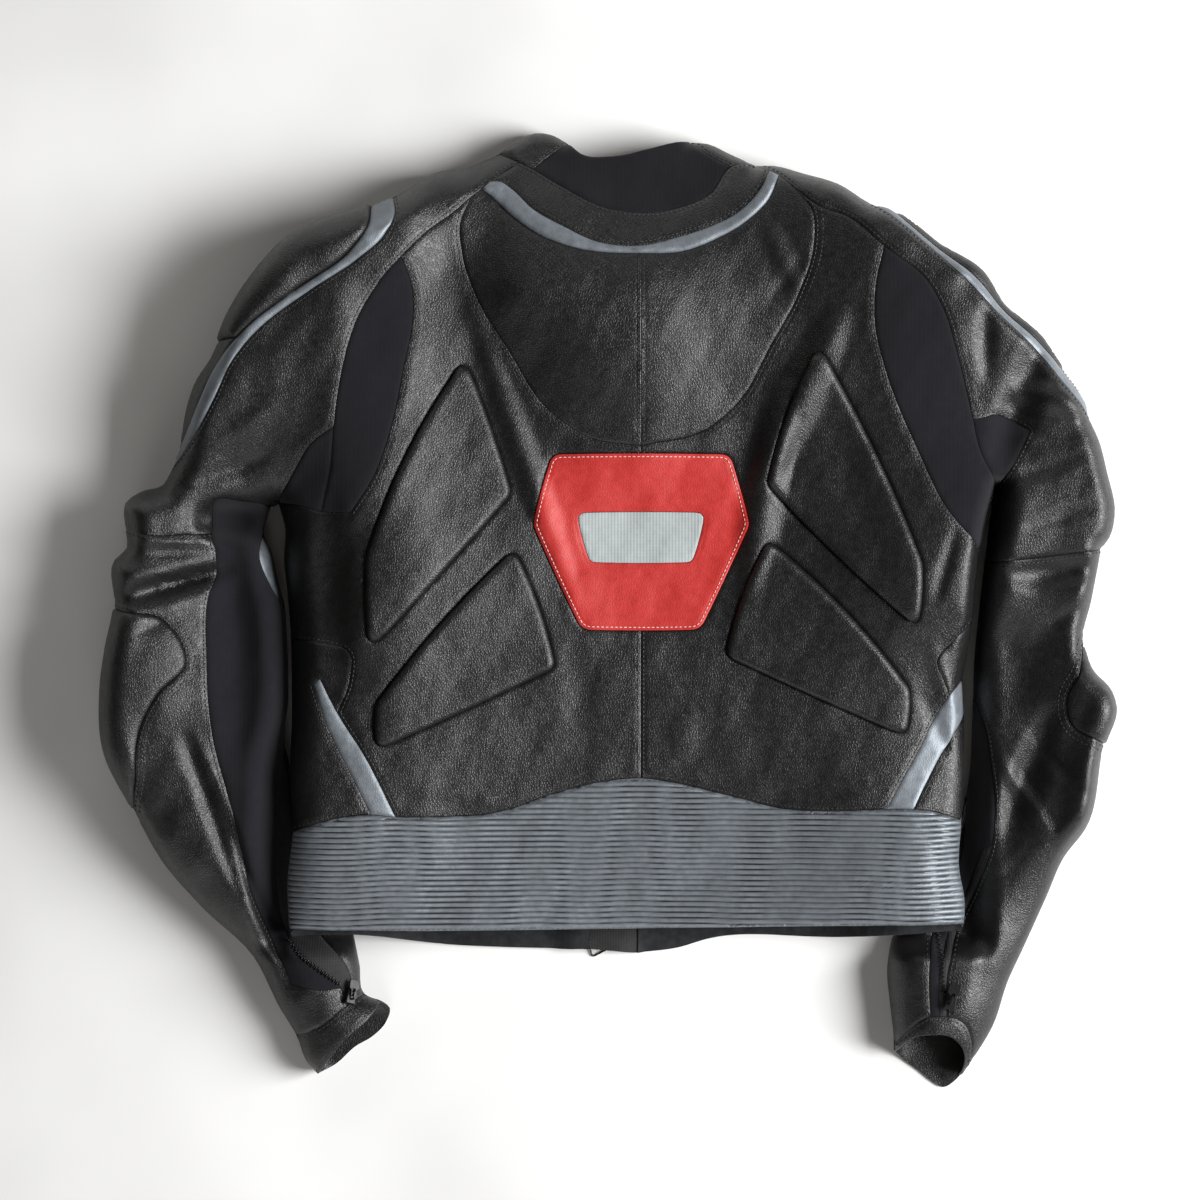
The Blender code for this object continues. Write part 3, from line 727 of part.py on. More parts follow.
def inset(ring, amounts):
    """The ring with each side moved in by its amount."""
    count, moved = len(ring), []
    for i in range(count):
        before, here, after = ring[i - 1], ring[i], ring[(i + 1) % count]
        u, v = here - before, after - here
        u, v = u / np.linalg.norm(u), v / np.linalg.norm(v)
        a, b = amounts[i - 1], amounts[i]
        nu, nv = np.array((-u[1], u[0])), np.array((-v[1], v[0]))
        cross = u[0] * v[1] - u[1] * v[0]
        if abs(cross) < 0.2:
            moved.append(here + (nu + nv) / 2 * max(a, b))
            continue
        shift = (v * a - u * b) / cross
        size = np.linalg.norm(shift)
        moved.append(here + shift * min(1, 1.2 / max(size, 1e-6)))
    return np.array(moved)


def bisector(before, here, after):
    """The direction into a ring at one of its corners."""
    u, v = here - before, after - here
    middle = np.array((-u[1], u[0])) / np.linalg.norm(u) + np.array((-v[1], v[0])) / np.linalg.norm(v)
    return middle / np.linalg.norm(middle)


def inside(points, ring):
    x, y = points.T
    crossed = np.zeros(len(points), bool)
    for (x0, y0), (x1, y1) in zip(ring, np.roll(ring, -1, 0)):
        if y0 == y1:
            continue
        hit = ((y0 > y) != (y1 > y)) & (x < (x1 - x0) * (y - y0) / (y1 - y0) + x0)
        crossed ^= hit
    return crossed


def closed(ring):
    return np.vstack([ring, ring[:1]])


def border(network, runs):
    """The panel's ring, and for each side whether it lies on a rolled outline."""
    ring, rolled = [], []
    for seam, start, end in runs:
        line = network.run(seam, start, end)
        ring.extend(line[:-1])
        rolled.extend([seam in OUTLINES] * (len(line) - 1))
    ring, rolled = np.array(ring), np.array(rolled)
    if area(ring) < 0:
        ring = ring[::-1]
        rolled = np.roll(rolled[::-1], -1)
    return ring, rolled


def lattice(ring, holes, step, network, tube):
    """Points inside a panel: rows along rolled edges, then an even staggered grid."""
    low, high = ring.min(0), ring.max(0)
    points = []
    edges = sorted({name for side in TUBES[tube] for name in side})
    for depth in EDGE_ROWS:
        for name in edges:
            line = network.lines[name]
            middle = (line[:-1] + line[1:]) / 2 if depth == EDGE_ROWS[1] else line
            tangent = np.gradient(middle, axis=0)
            normal = np.stack([tangent[:, 1], -tangent[:, 0]], 1)
            normal /= np.maximum(np.linalg.norm(normal, axis=1), 1e-9)[:, None]
            for side in (1, -1):
                row = middle + normal * side * depth
                keep = inside(row, ring)
                for other in edges:
                    keep &= distance(row, network.lines[other]) > depth * 0.93
                points.extend((p, PANEL_STEP * 0.45) for p in row[keep])
        for name in TURNING_CORNERS:
            for angle in np.arange(10) * math.tau / 10:
                spot = place(name) + depth * np.array((math.cos(angle), math.sin(angle)))
                if min(distance(spot[None], network.lines[other])[0] for other in edges) > depth * 0.9:
                    points.append((spot, depth * 0.6))
    rows = np.arange(math.floor(low[1] / step), math.ceil(high[1] / step) + 1)
    for j in rows:
        shift = step / 2 if j % 2 else 0
        for i in range(math.floor(low[0] / step) - 1, math.ceil(high[0] / step) + 1):
            points.append((np.array((i * step + shift, j * step)), step * 0.62))
    return sift(points, ring, holes)


def sift(points, ring, holes):
    """The points that are inside the ring, outside its holes, and well apart."""
    if not points:
        return np.zeros((0, 2))
    spots = np.array([p for p, _ in points])
    room = np.array([r for _, r in points])
    keep = inside(spots, ring)
    clear = distance(spots, closed(ring))
    for hole in holes:
        keep &= ~inside(spots, hole)
        clear = np.minimum(clear, distance(spots, closed(hole)))
    keep &= clear > np.minimum(room * 0.72, 6.5)
    kept = []
    for p, r in zip(spots[keep], room[keep]):
        if not kept or np.min(np.hypot(*(np.array(kept) - p).T)) > r:
            kept.append(p)
    return np.array(kept) if kept else np.zeros((0, 2))


def triangles(rings, extra):
    """Triangles between rings, the first outside and the rest its holes, through the extra points."""
    points = [Vector(p) for ring in rings for p in ring] + [Vector(p) for p in extra]
    edges, base = [], 0
    for ring in rings:
        edges += [(base + i, base + (i + 1) % len(ring)) for i in range(len(ring))]
        base += len(ring)
    made = delaunay_2d_cdt(points, edges, [], 0, 1e-5)
    source = [ids[0] if ids else None for ids in made[3]]
    faces = [[source[i] for i in face] for face in made[2]]
    bad = [face for face in faces if None in face or len(set(face)) < 3]
    if bad:
        raise ValueError("two borders cross")
    corner = np.array([[points[i][:] for i in face] for face in faces])
    keep = inside(corner.mean(1), rings[0])
    for hole in rings[1:]:
        keep &= ~inside(corner.mean(1), hole)
    u, v = corner[:, 1] - corner[:, 0], corner[:, 2] - corner[:, 0]
    turn = u[:, 0] * v[:, 1] - u[:, 1] * v[:, 0]
    keep &= abs(turn) > SLIVER
    return [face if turned > 0 else face[::-1] for face, kept, turned in zip(faces, keep, turn) if kept]


def build(name, outer, outer_faces, inner, inner_faces, kind, flip=False):
    """One closed wall: an outer and an inner sheet with the same border points, and the rim between."""
    sides = {}
    for face in outer_faces:
        for a, b in zip(face, face[1:] + face[:1]):
            sides[(a, b)] = 1
    rim = [(a, b) for a, b in sides if (b, a) not in sides]
    shift = len(outer)
    faces = [list(face) for face in outer_faces]
    faces += [[shift + i for i in face[::-1]] for face in inner_faces]
    for a, b in rim:
        step = outer[b][:2] - outer[a][:2]
        if step[np.argmax(abs(step))] > 0:  # neighbours split their rims along the same diagonal
            faces += [[b, a, shift + b], [a, shift + a, shift + b]]
        else:
            faces += [[b, a, shift + a], [b, shift + a, shift + b]]
    if flip:
        faces = [face[::-1] for face in faces]
    mesh = bpy.data.meshes.new(name)
    mesh.from_pydata([tuple(p) for p in np.vstack([outer, inner]) * MM], [], faces)
    mesh.materials.append(material(kind))
    mesh.shade_smooth()
    mesh.set_sharp_from_angle(angle=math.radians(40))
    thing = bpy.data.objects.new(name, mesh)
    bpy.context.scene.collection.objects.link(thing)
    return thing


class Tailor:
    """Makes the panels' walls from the seams and the form."""

    def __init__(self):
        self.network = Network(PANEL_STEP)
        self.form = Form(self.network)
        self.out = outward(self.network)
        self.crotches = {key(point) for point in self.network.lines["armpit_l"]}
        self.crotches |= {key(place(name)) for name in ("armpit_r", "tab_out_l", "raglan_top_r")}
        self.inlays = {name: rounded(rows) for name, rows in PADS.items()}
        self.plate = rounded(PLATE)

    def on_form(self, flat, tube, sheet, raised, wall, rolled_at):
        """Outer and inner points of a wall over the flat points."""
        rule = self.form.upper if sheet == "upper" else self.form.under
        z = rule(flat, tube)
        face = self.form.facing(flat, tube, sheet)
        low, turn, top = self.form.levels(flat, tube)
        for i, direction in rolled_at.items():
            gap = SEAM_GAP / 2 if sheet == "upper" else -SEAM_GAP / 2
            z[i] = turn[i] + gap
            face[i] = (direction[0], direction[1], 0)
        plain = np.column_stack([flat, z])
        return plain + face * raised[:, None], plain - face * wall

    def wall(self, name, ring, rolled, holes, tube, sheet, wall, kind, raise_rule=None, extra=None):
        amounts = np.where(rolled, 0.0, SEAM_GAP / 2)
        rim = inset(ring, amounts)
        rolled_at = {}
        for i, point in enumerate(ring):
            if key(point) in self.crotches:
                rolled_at[i] = -bisector(ring[i - 1], point, ring[(i + 1) % len(ring)])
            elif rolled[i] or rolled[i - 1]:
                rolled_at[i] = self.out[tube][key(point)]
        opened = [inset(hole[::-1], np.full(len(hole), SEAM_GAP / 2)) for hole in holes]
        step = PANEL_STEP if sheet == "upper" else UNDER_STEP
        points = lattice(rim, opened, step, self.network, tube)
        fine = points if extra is None else sift([(p, 1.0) for p in extra], rim, opened)
        rings = [rim] + opened
        flat = np.vstack(rings + [points])
        flat_fine = np.vstack(rings + [fine])
        none = np.zeros(len(flat_fine))
        raised = none if raise_rule is None else raise_rule(flat_fine, rim)
        outer, _ = self.on_form(flat_fine, tube, sheet, raised, wall, rolled_at)
        _, inner = self.on_form(flat, tube, sheet, np.zeros(len(flat)), wall, rolled_at)
        return build(name, outer, triangles(rings, fine), inner, triangles(rings, points), kind,
                     flip=sheet == "under")

    def panel(self, name):
        sheet, tube, wall, kind, runs = PANELS[name]
        ring, rolled = border(self.network, runs)
        holes = []
        extra, rule = None, None
        if name in ("back_left", "back_right"):
            side = name[5:]
            holes = [outline for pad, outline in self.inlays.items() if pad.endswith(side)]
            ring, rolled = self.without_plate(ring, rolled)
        if name == "waistband":
            extra, rule = self.rib_points(ring), self.ribs
        if name.startswith("shoulder_cap"):
            rule = self.cushion(SHOULDER_CAP_RAISE, 12.0)
        if name.startswith("elbow"):
            rule = self.cushion(ELBOW_RAISE, 10.0)
        if "strip" in name:
            rule = self.cushion(STRIP_RAISE, 3.0)
        return self.wall(name, ring, rolled, holes, tube, sheet, wall, kind, rule, extra)

    def without_plate(self, ring, rolled):
        """The ring of a back panel with the plate's half cut out of its centre seam."""
        left = ring[:, 0].mean() < 0
        centre = [i for i, p in enumerate(ring) if abs(p[0]) < 1e-6]
        top, foot = self.plate[:, 1].max(), self.plate[:, 1].min()
        half = [p for p in self.plate if (p[0] < -1e-6) == left and abs(p[0]) > 1e-6]
        half.sort(key=lambda p: math.atan2(p[1] - (top + foot) / 2, abs(p[0])))
        notch = [np.array((0.0, foot))] + half + [np.array((0.0, top))]
        result, marks = [], []
        above = [i for i in centre if ring[i][1] > top]
        below = [i for i in centre if ring[i][1] < foot]
        skip = {i for i in centre if foot <= ring[i][1] <= top}
        order = list(range(len(ring)))
        for i in order:
            following = (i + 1) % len(ring)
            if i in skip:
                continue
            result.append(ring[i])
            marks.append(rolled[i])
            if i in above and (following in skip or following in below):
                result.extend(notch[::-1])
                marks.extend([False] * len(notch))
            if i in below and (following in skip or following in above):
                result.extend(notch)
                marks.extend([False] * len(notch))
        return np.array(result), np.array(marks)

    def cushion(self, height, reach, base=0.0):
        def rule(points, ring):
            return base + height * round_over(distance(points, closed(ring)) / reach)
        return rule

    def rib_points(self, ring):
        """Points along the crest and the trough of each rib."""
        low, high = ring.min(0), ring.max(0)
        points = []
        for k in range(1, math.ceil(high[1] / RIB_PITCH * 2)):
            start = (math.ceil(low[0] / RIB_COLUMNS) - (k % 2) / 2) * RIB_COLUMNS
            for x in np.arange(start, high[0], RIB_COLUMNS):
                points.append(np.array((x, k * RIB_PITCH / 2)))
        for name in ("body_side_l", "body_side_r"):
            line = self.network.lines[name]
            for depth in EDGE_ROWS:
                side = depth if name.endswith("l") else -depth
                for k in range(1, math.ceil(high[1] / RIB_PITCH * 2)):
                    y = k * RIB_PITCH / 2
                    order = np.argsort(line[:, 1])
                    points.append(np.array((np.interp(y, line[order, 1], line[order, 0]) + side, y)))
        return points

    def ribs(self, points, ring):
        wave = 0.5 - 0.5 * np.cos(2 * math.pi * points[:, 1] / RIB_PITCH)
        return RIB_RAISE * wave * ease(distance(points, closed(ring)), 0, 2)

    def inlay(self, name, ring, holes, raise_rule, kind, wall=LEATHER_WALL):
        rolled = np.zeros(len(ring), bool)
        return self.wall(name, ring, rolled, holes, "body", "upper", wall, kind, raise_rule)


def solid(name, kind, points, faces):
    mesh = bpy.data.meshes.new(name)
    mesh.from_pydata([tuple(p) for p in np.array(points) * MM], [], faces)
    mesh.materials.append(material(kind))
    mesh.update()
    thing = bpy.data.objects.new(name, mesh)
    bpy.context.scene.collection.objects.link(thing)
    return thing


def prism(outline, levels, hole=()):
    """Points and faces of a straight body: the outline at each level (height, inset), with one hole."""
    outline = np.array(outline, dtype=float)
    rings = []
    for height, shrink in levels:
        ring = inset_even(outline, shrink)
        rings.append(np.column_stack([ring, np.full(len(ring), height)]))
    points, count = list(np.vstack(rings)), len(outline)
    faces = []
    for k in range(len(levels) - 1):
        for i in range(count):
            j = (i + 1) % count
            faces.append([k * count + i, k * count + j, (k + 1) * count + j, (k + 1) * count + i])
    if not len(hole):
        faces += [list(range(count))[::-1], [(len(levels) - 1) * count + i for i in range(count)]]
        return points, faces
    base = len(points)
    for height, shrink in levels:
        ring = inset_even(np.array(hole, dtype=float), -shrink)
        points += [(*p, height) for p in ring]
    size = len(hole)
    for k in range(len(levels) - 1):
        for i in range(size):
            j = (i + 1) % size
            faces.append([base + k * size + j, base + k * size + i, base + (k + 1) * size + i,
                          base + (k + 1) * size + j])
    for level, flip in ((0, True), (len(levels) - 1, False)):
        outer = [level * count + i for i in range(count)]
        inner = [base + level * size + i for i in range(size)]
        flat = [np.array([points[i][:2] for i in ring]) for ring in (outer, inner)]
        order = outer + inner
        for face in triangles(flat, []):
            found = [order[i] for i in face]
            faces.append(found[::-1] if flip else found)
    return points, faces


def inset_even(ring, amount):
    """The counter-clockwise ring with every side moved in by one amount."""
    u = ring - np.roll(ring, 1, 0)
    u /= np.linalg.norm(u, axis=1)[:, None]
    v = np.roll(u, -1, 0)
    cross = u[:, 0] * v[:, 1] - u[:, 1] * v[:, 0]
    return ring + (v - u) * (amount / cross)[:, None]


def slider_parts(length, rear, front, plate_wide, plate_long):
    """Slider body, its bail, and the pull, in the slider's own frame: Y along the pull, Z up."""
    half = length / 2
    outline = [(-rear / 2 + 0.8, -half), (rear / 2 - 0.8, -half), (rear / 2, -half + 0.8),
               (front / 2, half - 1.2), (front / 2 - 1.2, half), (-front / 2 + 1.2, half),
               (-front / 2, half - 1.2), (-rear / 2, -half + 0.8)]
    body = prism(outline, [(0, 0.3), (0.3, 0), (SLIDER_HEIGHT - 0.7, 0), (SLIDER_HEIGHT, 0.7)])
    reach, high, low = BAIL_REACH, BAIL_HEIGHT, -1.2
    side = [(-reach, low), (reach, low), (reach, high - 1.4), (reach - 1.4, high), (-reach + 1.4, high),
            (-reach, high - 1.4)]
    wide, tall = BAIL_WINDOW
    window = [(-wide, 0.02), (wide, 0.02), (wide, tall - 0.7), (wide - 0.7, tall), (-wide + 0.7, tall),
              (-wide, tall - 0.7)]
    bail = prism(side, [(-BAIL_WIDTH / 2, 0.25), (-BAIL_WIDTH / 2 + 0.25, 0), (BAIL_WIDTH / 2 - 0.25, 0),
                        (BAIL_WIDTH / 2, 0.25)], window)
    bail = ([(p[2], p[0], p[1] + SLIDER_HEIGHT) for p in bail[0]], bail[1])
    inner, outer = PULL_ARM
    end = PULL_WINDOW_END
    wide = plate_wide / 2
    outline = [(-outer, -0.65), (outer, -0.65), (outer, end - 1.2), (wide - 0.8, end - 0.4), (wide, end + 0.4),
               (wide, end + plate_long - 1), (wide - 1, end + plate_long), (-wide + 1, end + plate_long),
               (-wide, end + plate_long - 1), (-wide, end + 0.4), (-wide + 0.8, end - 0.4), (-outer, end - 1.2)]
    window = [(-inner, 0.65), (inner, 0.65), (inner, end), (-inner, end)]
    thick = PULL_THICK / 2
    pull = prism(outline, [(-thick, 0.25), (-thick + 0.25, 0), (thick - 0.25, 0), (thick, 0.25)], window)
    return body, bail, pull


def join(base, other):
    """The base body with another one merged into it."""
    bond = base.modifiers.new("merge", "BOOLEAN")
    bond.operation, bond.solver, bond.object = "UNION", "EXACT", other
    merged = bpy.data.meshes.new_from_object(base.evaluated_get(bpy.context.evaluated_depsgraph_get()))
    base.modifiers.clear()
    base.data = merged
    bpy.data.objects.remove(other, do_unlink=True)


def make_slider(tailor, name):
    tube, x, y, heading, length, rear, front, plate_wide, plate_long = SLIDERS[name]
    centre = np.array([[x, y]])
    up = Vector(tailor.form.facing(centre, tube, "upper")[0])
    along = Vector((math.cos(math.radians(heading)), math.sin(math.radians(heading)), 0))
    along = (along - up * along.dot(up)).normalized()
    turn = Matrix((along.cross(up), along, up)).transposed()
    base = Vector((x, y, tailor.form.upper(centre, tube)[0]))
    grid = [Vector((a, b, 0)) for a in (-rear / 2, 0, rear / 2) for b in np.arange(-length / 2, 13, 1.5)]
    spots = [base + turn @ spot for spot in grid]
    heights = tailor.form.upper(np.array([spot[:2] for spot in spots]), tube)
    needed = max((height - spot.z) * up.z for spot, height in zip(spots, heights))
    base += up * (max(needed, 0) + SLIDER_CLEARANCE)
    body, bail, pull = slider_parts(length, rear, front, plate_wide, plate_long)
    slider = solid(name, "zip_metal", body[0], body[1])
    join(slider, solid("bail", "zip_metal", bail[0], bail[1]))
    frame = Matrix.Translation(base * MM) @ turn.to_4x4()
    slider.data.transform(frame)
    tab = solid(name.replace("slider", "pull"), "zip_metal", pull[0], pull[1])
    tab.data.transform(turn.to_4x4())
    tab.location = (base + turn @ Vector((0, 0, SLIDER_HEIGHT + BAIL_WINDOW[1] / 2))) * MM


def make_front_slider():
    """The front zip's slider, with a lug under it that holds the wire loop."""
    start, end = (np.array(row[:2]) for row in WIRE_LOOP[1:3])
    across = (end - start) / np.linalg.norm(end - start)
    centre = (start + end) / 2
    turn = Matrix(((across[0], -across[1], 0), (across[1], across[0], 0), (0, 0, 1)))
    wide, long_, high = FRONT_SLIDER
    x, y = wide / 2, long_ / 2
    outline = [(1 - x, -y), (x - 1, -y), (x, 1 - y), (x, y - 1), (x - 1, y), (1 - x, y), (-x, y - 1),
               (-x, 1 - y)]
    half, thick, hole = LUG
    body = prism(outline, [(half, 0.3), (half + 0.3, 0), (half + high - 0.3, 0), (half + high, 0.3)])
    side = [(-half, -half + 0.5), (-half + 0.5, -half), (half - 0.5, -half), (half, -half + 0.5),
            (half, half + 0.4), (-half, half + 0.4)]
    window = [(hole * math.cos(k * math.tau / 8), hole * math.sin(k * math.tau / 8)) for k in range(8)]
    lug = prism(side, [(-thick, 0), (thick, 0)], window)
    slider = solid("front_slider", "zip_metal", body[0], body[1])
    join(slider, solid("lug", "zip_metal", [(p[2], p[0], p[1]) for p in lug[0]], lug[1]))
    axis_at = Vector((*centre, LOOP_AXIS_HEIGHT)) * MM
    slider.data.transform(Matrix.Translation(axis_at) @ turn.to_4x4())
    points, faces = wire_loop([(*(np.array(row[:2]) - centre), *row[2:]) for row in WIRE_LOOP], WIRE_RADIUS)
    loop = solid("front_pull", "zip_metal", points, faces)
    loop.data.shade_smooth()
    loop.data.transform(Matrix.Rotation(math.radians(LOOP_DROOP), 4, Vector((*across, 0))))
    loop.location = axis_at


def wire_loop(rows, radius, around=8):
    """A closed loop of round wire through the corners."""
    ring, path = rounded(rows), []
    for i in range(len(ring)):
        ahead, behind = ring[(i + 1) % len(ring)] - ring[i], ring[i] - ring[i - 1]
        u = ahead / np.linalg.norm(ahead) + behind / np.linalg.norm(behind)
        u /= np.linalg.norm(u)
        side = np.array((u[1], -u[0]))
        for k in range(around):
            angle = math.tau * k / around
            flat = ring[i] + side * math.cos(angle) * radius
            path.append((flat[0], flat[1], math.sin(angle) * radius))
    faces = []
    for i in range(len(ring)):
        j = (i + 1) % len(ring)
        for k in range(around):
            n = (k + 1) % around
            faces.append([i * around + k, j * around + k, j * around + n, i * around + n])
    return path, faces


def set_origin():
    """Moves everything so that the middle of the jacket's box, at the surface, is the origin."""
    low, high = np.full(3, 1e9), np.full(3, -1e9)
    for thing in bpy.data.objects:
        corners = np.array([thing.matrix_world @ vertex.co for vertex in thing.data.vertices])
        low, high = np.minimum(low, corners.min(0)), np.maximum(high, corners.max(0))
    shift = Vector((-(low[0] + high[0]) / 2, -(low[1] + high[1]) / 2, -low[2]))
    for thing in bpy.data.objects:
        if thing.location.length > 0:
            thing.location += shift
        else:
            thing.data.transform(Matrix.Translation(shift))


def make_jacket():
    tailor = Tailor()
    for name in PANELS:
        tailor.panel(name)
    for name, ring in tailor.inlays.items():
        tailor.inlay(name, ring, [], tailor.cushion(PAD_RAISE, PAD_ROUND), "black_leather")
    bar = rounded(PLATE_BAR)
    tailor.inlay("back_plate", tailor.plate, [bar], tailor.cushion(PLATE_RAISE, 3.0), "red_leather")
    tailor.inlay("plate_bar", bar, [], tailor.cushion(BAR_RAISE, 3.0, PLATE_RAISE), "grey_fabric")
    for name in SLIDERS:
        make_slider(tailor, name)
    make_front_slider()
    bpy.context.view_layer.update()
    set_origin()


clear_scene()
make_jacket()
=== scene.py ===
"""Looks of a leather racing jacket that lies face down on a pale surface, seen from straight above.

Every cut panel is a fine closed shell over its solid. It has the solid's seams and outline, and heights of
its own: another crown and tighter sides, with creases, sunk seams, topstitching, ribs and pads. The sizes in
the tables are in mm, on the jacket's own pattern: x from the centre-back seam, y up from the waistband's
lower edge.
"""
import math

import bpy
import numpy as np
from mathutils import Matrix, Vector
from mathutils.geometry import delaunay_2d_cdt


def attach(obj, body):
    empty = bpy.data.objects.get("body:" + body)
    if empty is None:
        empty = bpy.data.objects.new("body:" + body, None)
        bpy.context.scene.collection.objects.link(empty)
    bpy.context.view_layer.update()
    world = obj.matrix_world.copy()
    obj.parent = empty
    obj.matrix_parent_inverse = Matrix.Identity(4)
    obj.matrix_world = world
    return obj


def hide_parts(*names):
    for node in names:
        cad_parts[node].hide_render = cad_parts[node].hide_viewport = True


bl_info = {
    "name": "Leather racing jacket",
    "version": (1, 0, 0),
    "blender": (4, 5, 0),
    "location": "3D View > Sidebar > Jacket",
    "description": "Dresses the solids of a leather racing jacket",
    "category": "Object",
}

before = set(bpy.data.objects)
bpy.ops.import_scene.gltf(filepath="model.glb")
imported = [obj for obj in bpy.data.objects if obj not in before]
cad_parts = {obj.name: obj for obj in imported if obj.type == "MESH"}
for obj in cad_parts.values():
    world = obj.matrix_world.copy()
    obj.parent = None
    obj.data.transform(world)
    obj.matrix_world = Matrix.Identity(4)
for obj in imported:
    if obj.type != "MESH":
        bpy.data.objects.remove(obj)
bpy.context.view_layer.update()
BODY = "jacket"
FINISHES = {}  # the materials made below, by the name of their finish

MM = 0.001
ORIGIN = np.array((24.80853, -236.08589, 0.0))  # from the pattern to the middle of the jacket's box

# Sizes of the cloth, in mm
WALLS = {"black_leather": 2.0, "silver_leather": 2.0, "red_leather": 2.0, "grey_fabric": 2.0,
         "stretch_fabric": 1.6, "hem_pile": 3.0, "zip_tape": 1.6}
BAND_WALL = 2.4
SEAM_GAP = 0.3
TURN_SHARE = 0.32  # height of the turning line of a rolled edge, as a share of the height there
UNDER_ROLL = 16.0  # how far in from the outline the underside reaches the surface
FINE_STEP = 3.2
FORM_STEP = 6.0  # between the points of the seams that the heights are measured from
INNER_STEP = 7.0
UNDER_STEP = 13.0
BORDER_ROWS = (0.9, 2.2, 3.6, 5.6)  # how far in the rows of points along a border lie
EDGE_ROWS = (0.4, 1.2, 2.6, 4.8, 8.0)
INNER_ROWS = (1.2, 4.0)
PAD_RAISE = 4.8
PAD_ROUND = 5.0
PAD_GROOVE = 1.5  # width of the sunk line round a pad
SHOULDER_CAP_RAISE = 5.0
SHOULDER_CAP_ROUND = 12.0
ELBOW_RAISE = 3.0
ELBOW_ROUND = 10.0
PLATE_RAISE = 1.2
PLATE_ROUND = 2.0
PLATE_STITCH_IN = 2.4  # from the plate's edge to its row of stitches
BAR_RAISE = 0.8
BAR_SINK = 0.6  # how far the bar's edge lies under the plate's face
STRIP_RAISE = 0.6
STRIP_ROUND = 3.0
COLLAR_ROLL_RAISE = 1.6
COLLAR_ROLL_ROUND = 6.0
RIB_PITCH = 4.07
RIB_RAISE = 1.9
SLEEVE_UNDER_BODY = 24.0  # height of a sleeve where the body lies on it
BODY_LIFT = 31.0  # how far the body's lower corners are lifted by the sleeves under them
SEAM_DIP = 1.3  # how deep a seam lies under the panels that it joins
SEAM_ROLL = 3.6  # how far in from a seam its panels bend down
SLIVER = 0.004  # twice the area, in mm2, below which a triangle is left out
SHARP_ANGLE = 50.0  # degrees between faces, above which their edge is drawn sharp

# The flat size worked out for a panel: its box seen from above, fitted to the area of its cloth
LEAST_FILL = 0.34  # the width is cut down until the cloth fills this share of the box

# Corners where seams meet
CORNERS = {
    "raglan_top_l": (-90, 569), "stand_end_l": (-112, 554), "nape_l": (-118, 548),
    "yoke_top_l": (-125, 542), "leaf_top_l": (-176, 496), "gusset_top_l": (-226, 371),
    "armpit_l": (-270, 316), "gusset_foot_l": (-236, 309), "leaf_foot_l": (-214, 308),
    "flank_top_l": (-261, 215), "stripe_mid_l": (-224, 161), "stripe_tip_in_l": (-237, 186),
    "stripe_tip_out_l": (-242, 182), "stripe_foot_in_l": (-181, 84), "stripe_foot_out_l": (-199, 86),
    "waist_l": (-258, 73), "hem_l": (-261, 0), "yoke_nape": (0, 500), "yoke_foot": (0, 358),
    "back_foot": (0, 112), "hem_mid": (0, 0), "raglan_top_r": (86, 568), "stand_end_r": (95, 563),
    "nape_r": (102, 559), "yoke_top_r": (109, 553), "leaf_top_r": (178, 504),
    "gusset_top_r": (244, 377), "armpit_r": (263, 328), "leaf_foot_r": (252, 281),
    "flank_top_r": (247, 229), "stripe_mid_r": (228, 173), "stripe_tip_in_r": (240, 185),
    "stripe_tip_out_r": (241, 158), "stripe_foot_in_r": (181, 90), "stripe_foot_out_r": (201, 90),
    "waist_r": (238, 81), "hem_r": (240, 4), "tab_out_l": (-106, 577), "tab_in_l": (-80, 564),
    "tab_top_l": (-54, 585), "tab_top_r": (38, 586), "tab_in_r": (67, 566),
    "strip_top_in_l": (-184, 544), "strip_top_out_l": (-200, 537), "cap_foot_out_l": (-314, 436),
    "cap_foot_in_l": (-297, 437), "strip_end_out_l": (-344, 353), "strip_end_in_l": (-349, 341),
    "notch_l": (-355, 330), "head_foot_l": (-383, 297), "fold_in_l": (-314, 317), "elbow_in_l": (-317, 294),
    "elbow_top_l": (-391, 238), "elbow_foot_l": (-377, 87), "cuff_seam_out_l": (-257, -81),
    "cuff_tip_l": (-241, -110), "zip_end_l": (-218, -57), "cuff_seam_in_l": (-206, -50),
    "edge_in_l": (-194, -55), "zip_foot_l": (-222, -44), "stretch_foot_l": (-260, -41),
    "sleeve_in_l": (-276, 314), "flash_top_l": (-281, 292), "flash_foot_l": (-266, 241),
    "zip_top_in_l": (-263, 124), "zip_top_l": (-265, 132), "zip_end_in_l": (-212, -53),
    "gusset_out_r": (286, 369), "strip_top_r": (171, 539), "cap_top_r": (186, 534),
    "strip_end_r": (329, 392), "cap_end_r": (333, 379), "head_foot_r": (342, 282),
    "elbow_in_r": (256, 272), "stretch_top_r": (248, 170), "elbow_top_r": (329, 215),
    "elbow_foot_r": (344, 137), "zip_top_r": (260, 63), "zip_top_in_r": (254, 60),
    "inner_top_r": (243, 96), "inner_foot_r": (214, -64),
    "zip_end_in_r": (221, -64), "zip_end_r": (226, -64), "cuff_in_r": (189, -86),
    "cuff_out_r": (246, -101), "edge_in_r": (189, -92), "edge_out_r": (240, -110),
    "cuff_tip_r": (227, -121), "front_foot_l": (-259, -5), "front_foot_r": (238, -1),
    "closure_top_l": (-34, 540), "closure_hem_l": (-38, 4), "closure_foot_l": (-38, -17),
    "closure_top_r": (-6, 540), "closure_hem_r": (-3, 4), "closure_foot_r": (-3, -20),
    "closure_collar_l": (-33, 571), "closure_collar_r": (-7, 571),
}

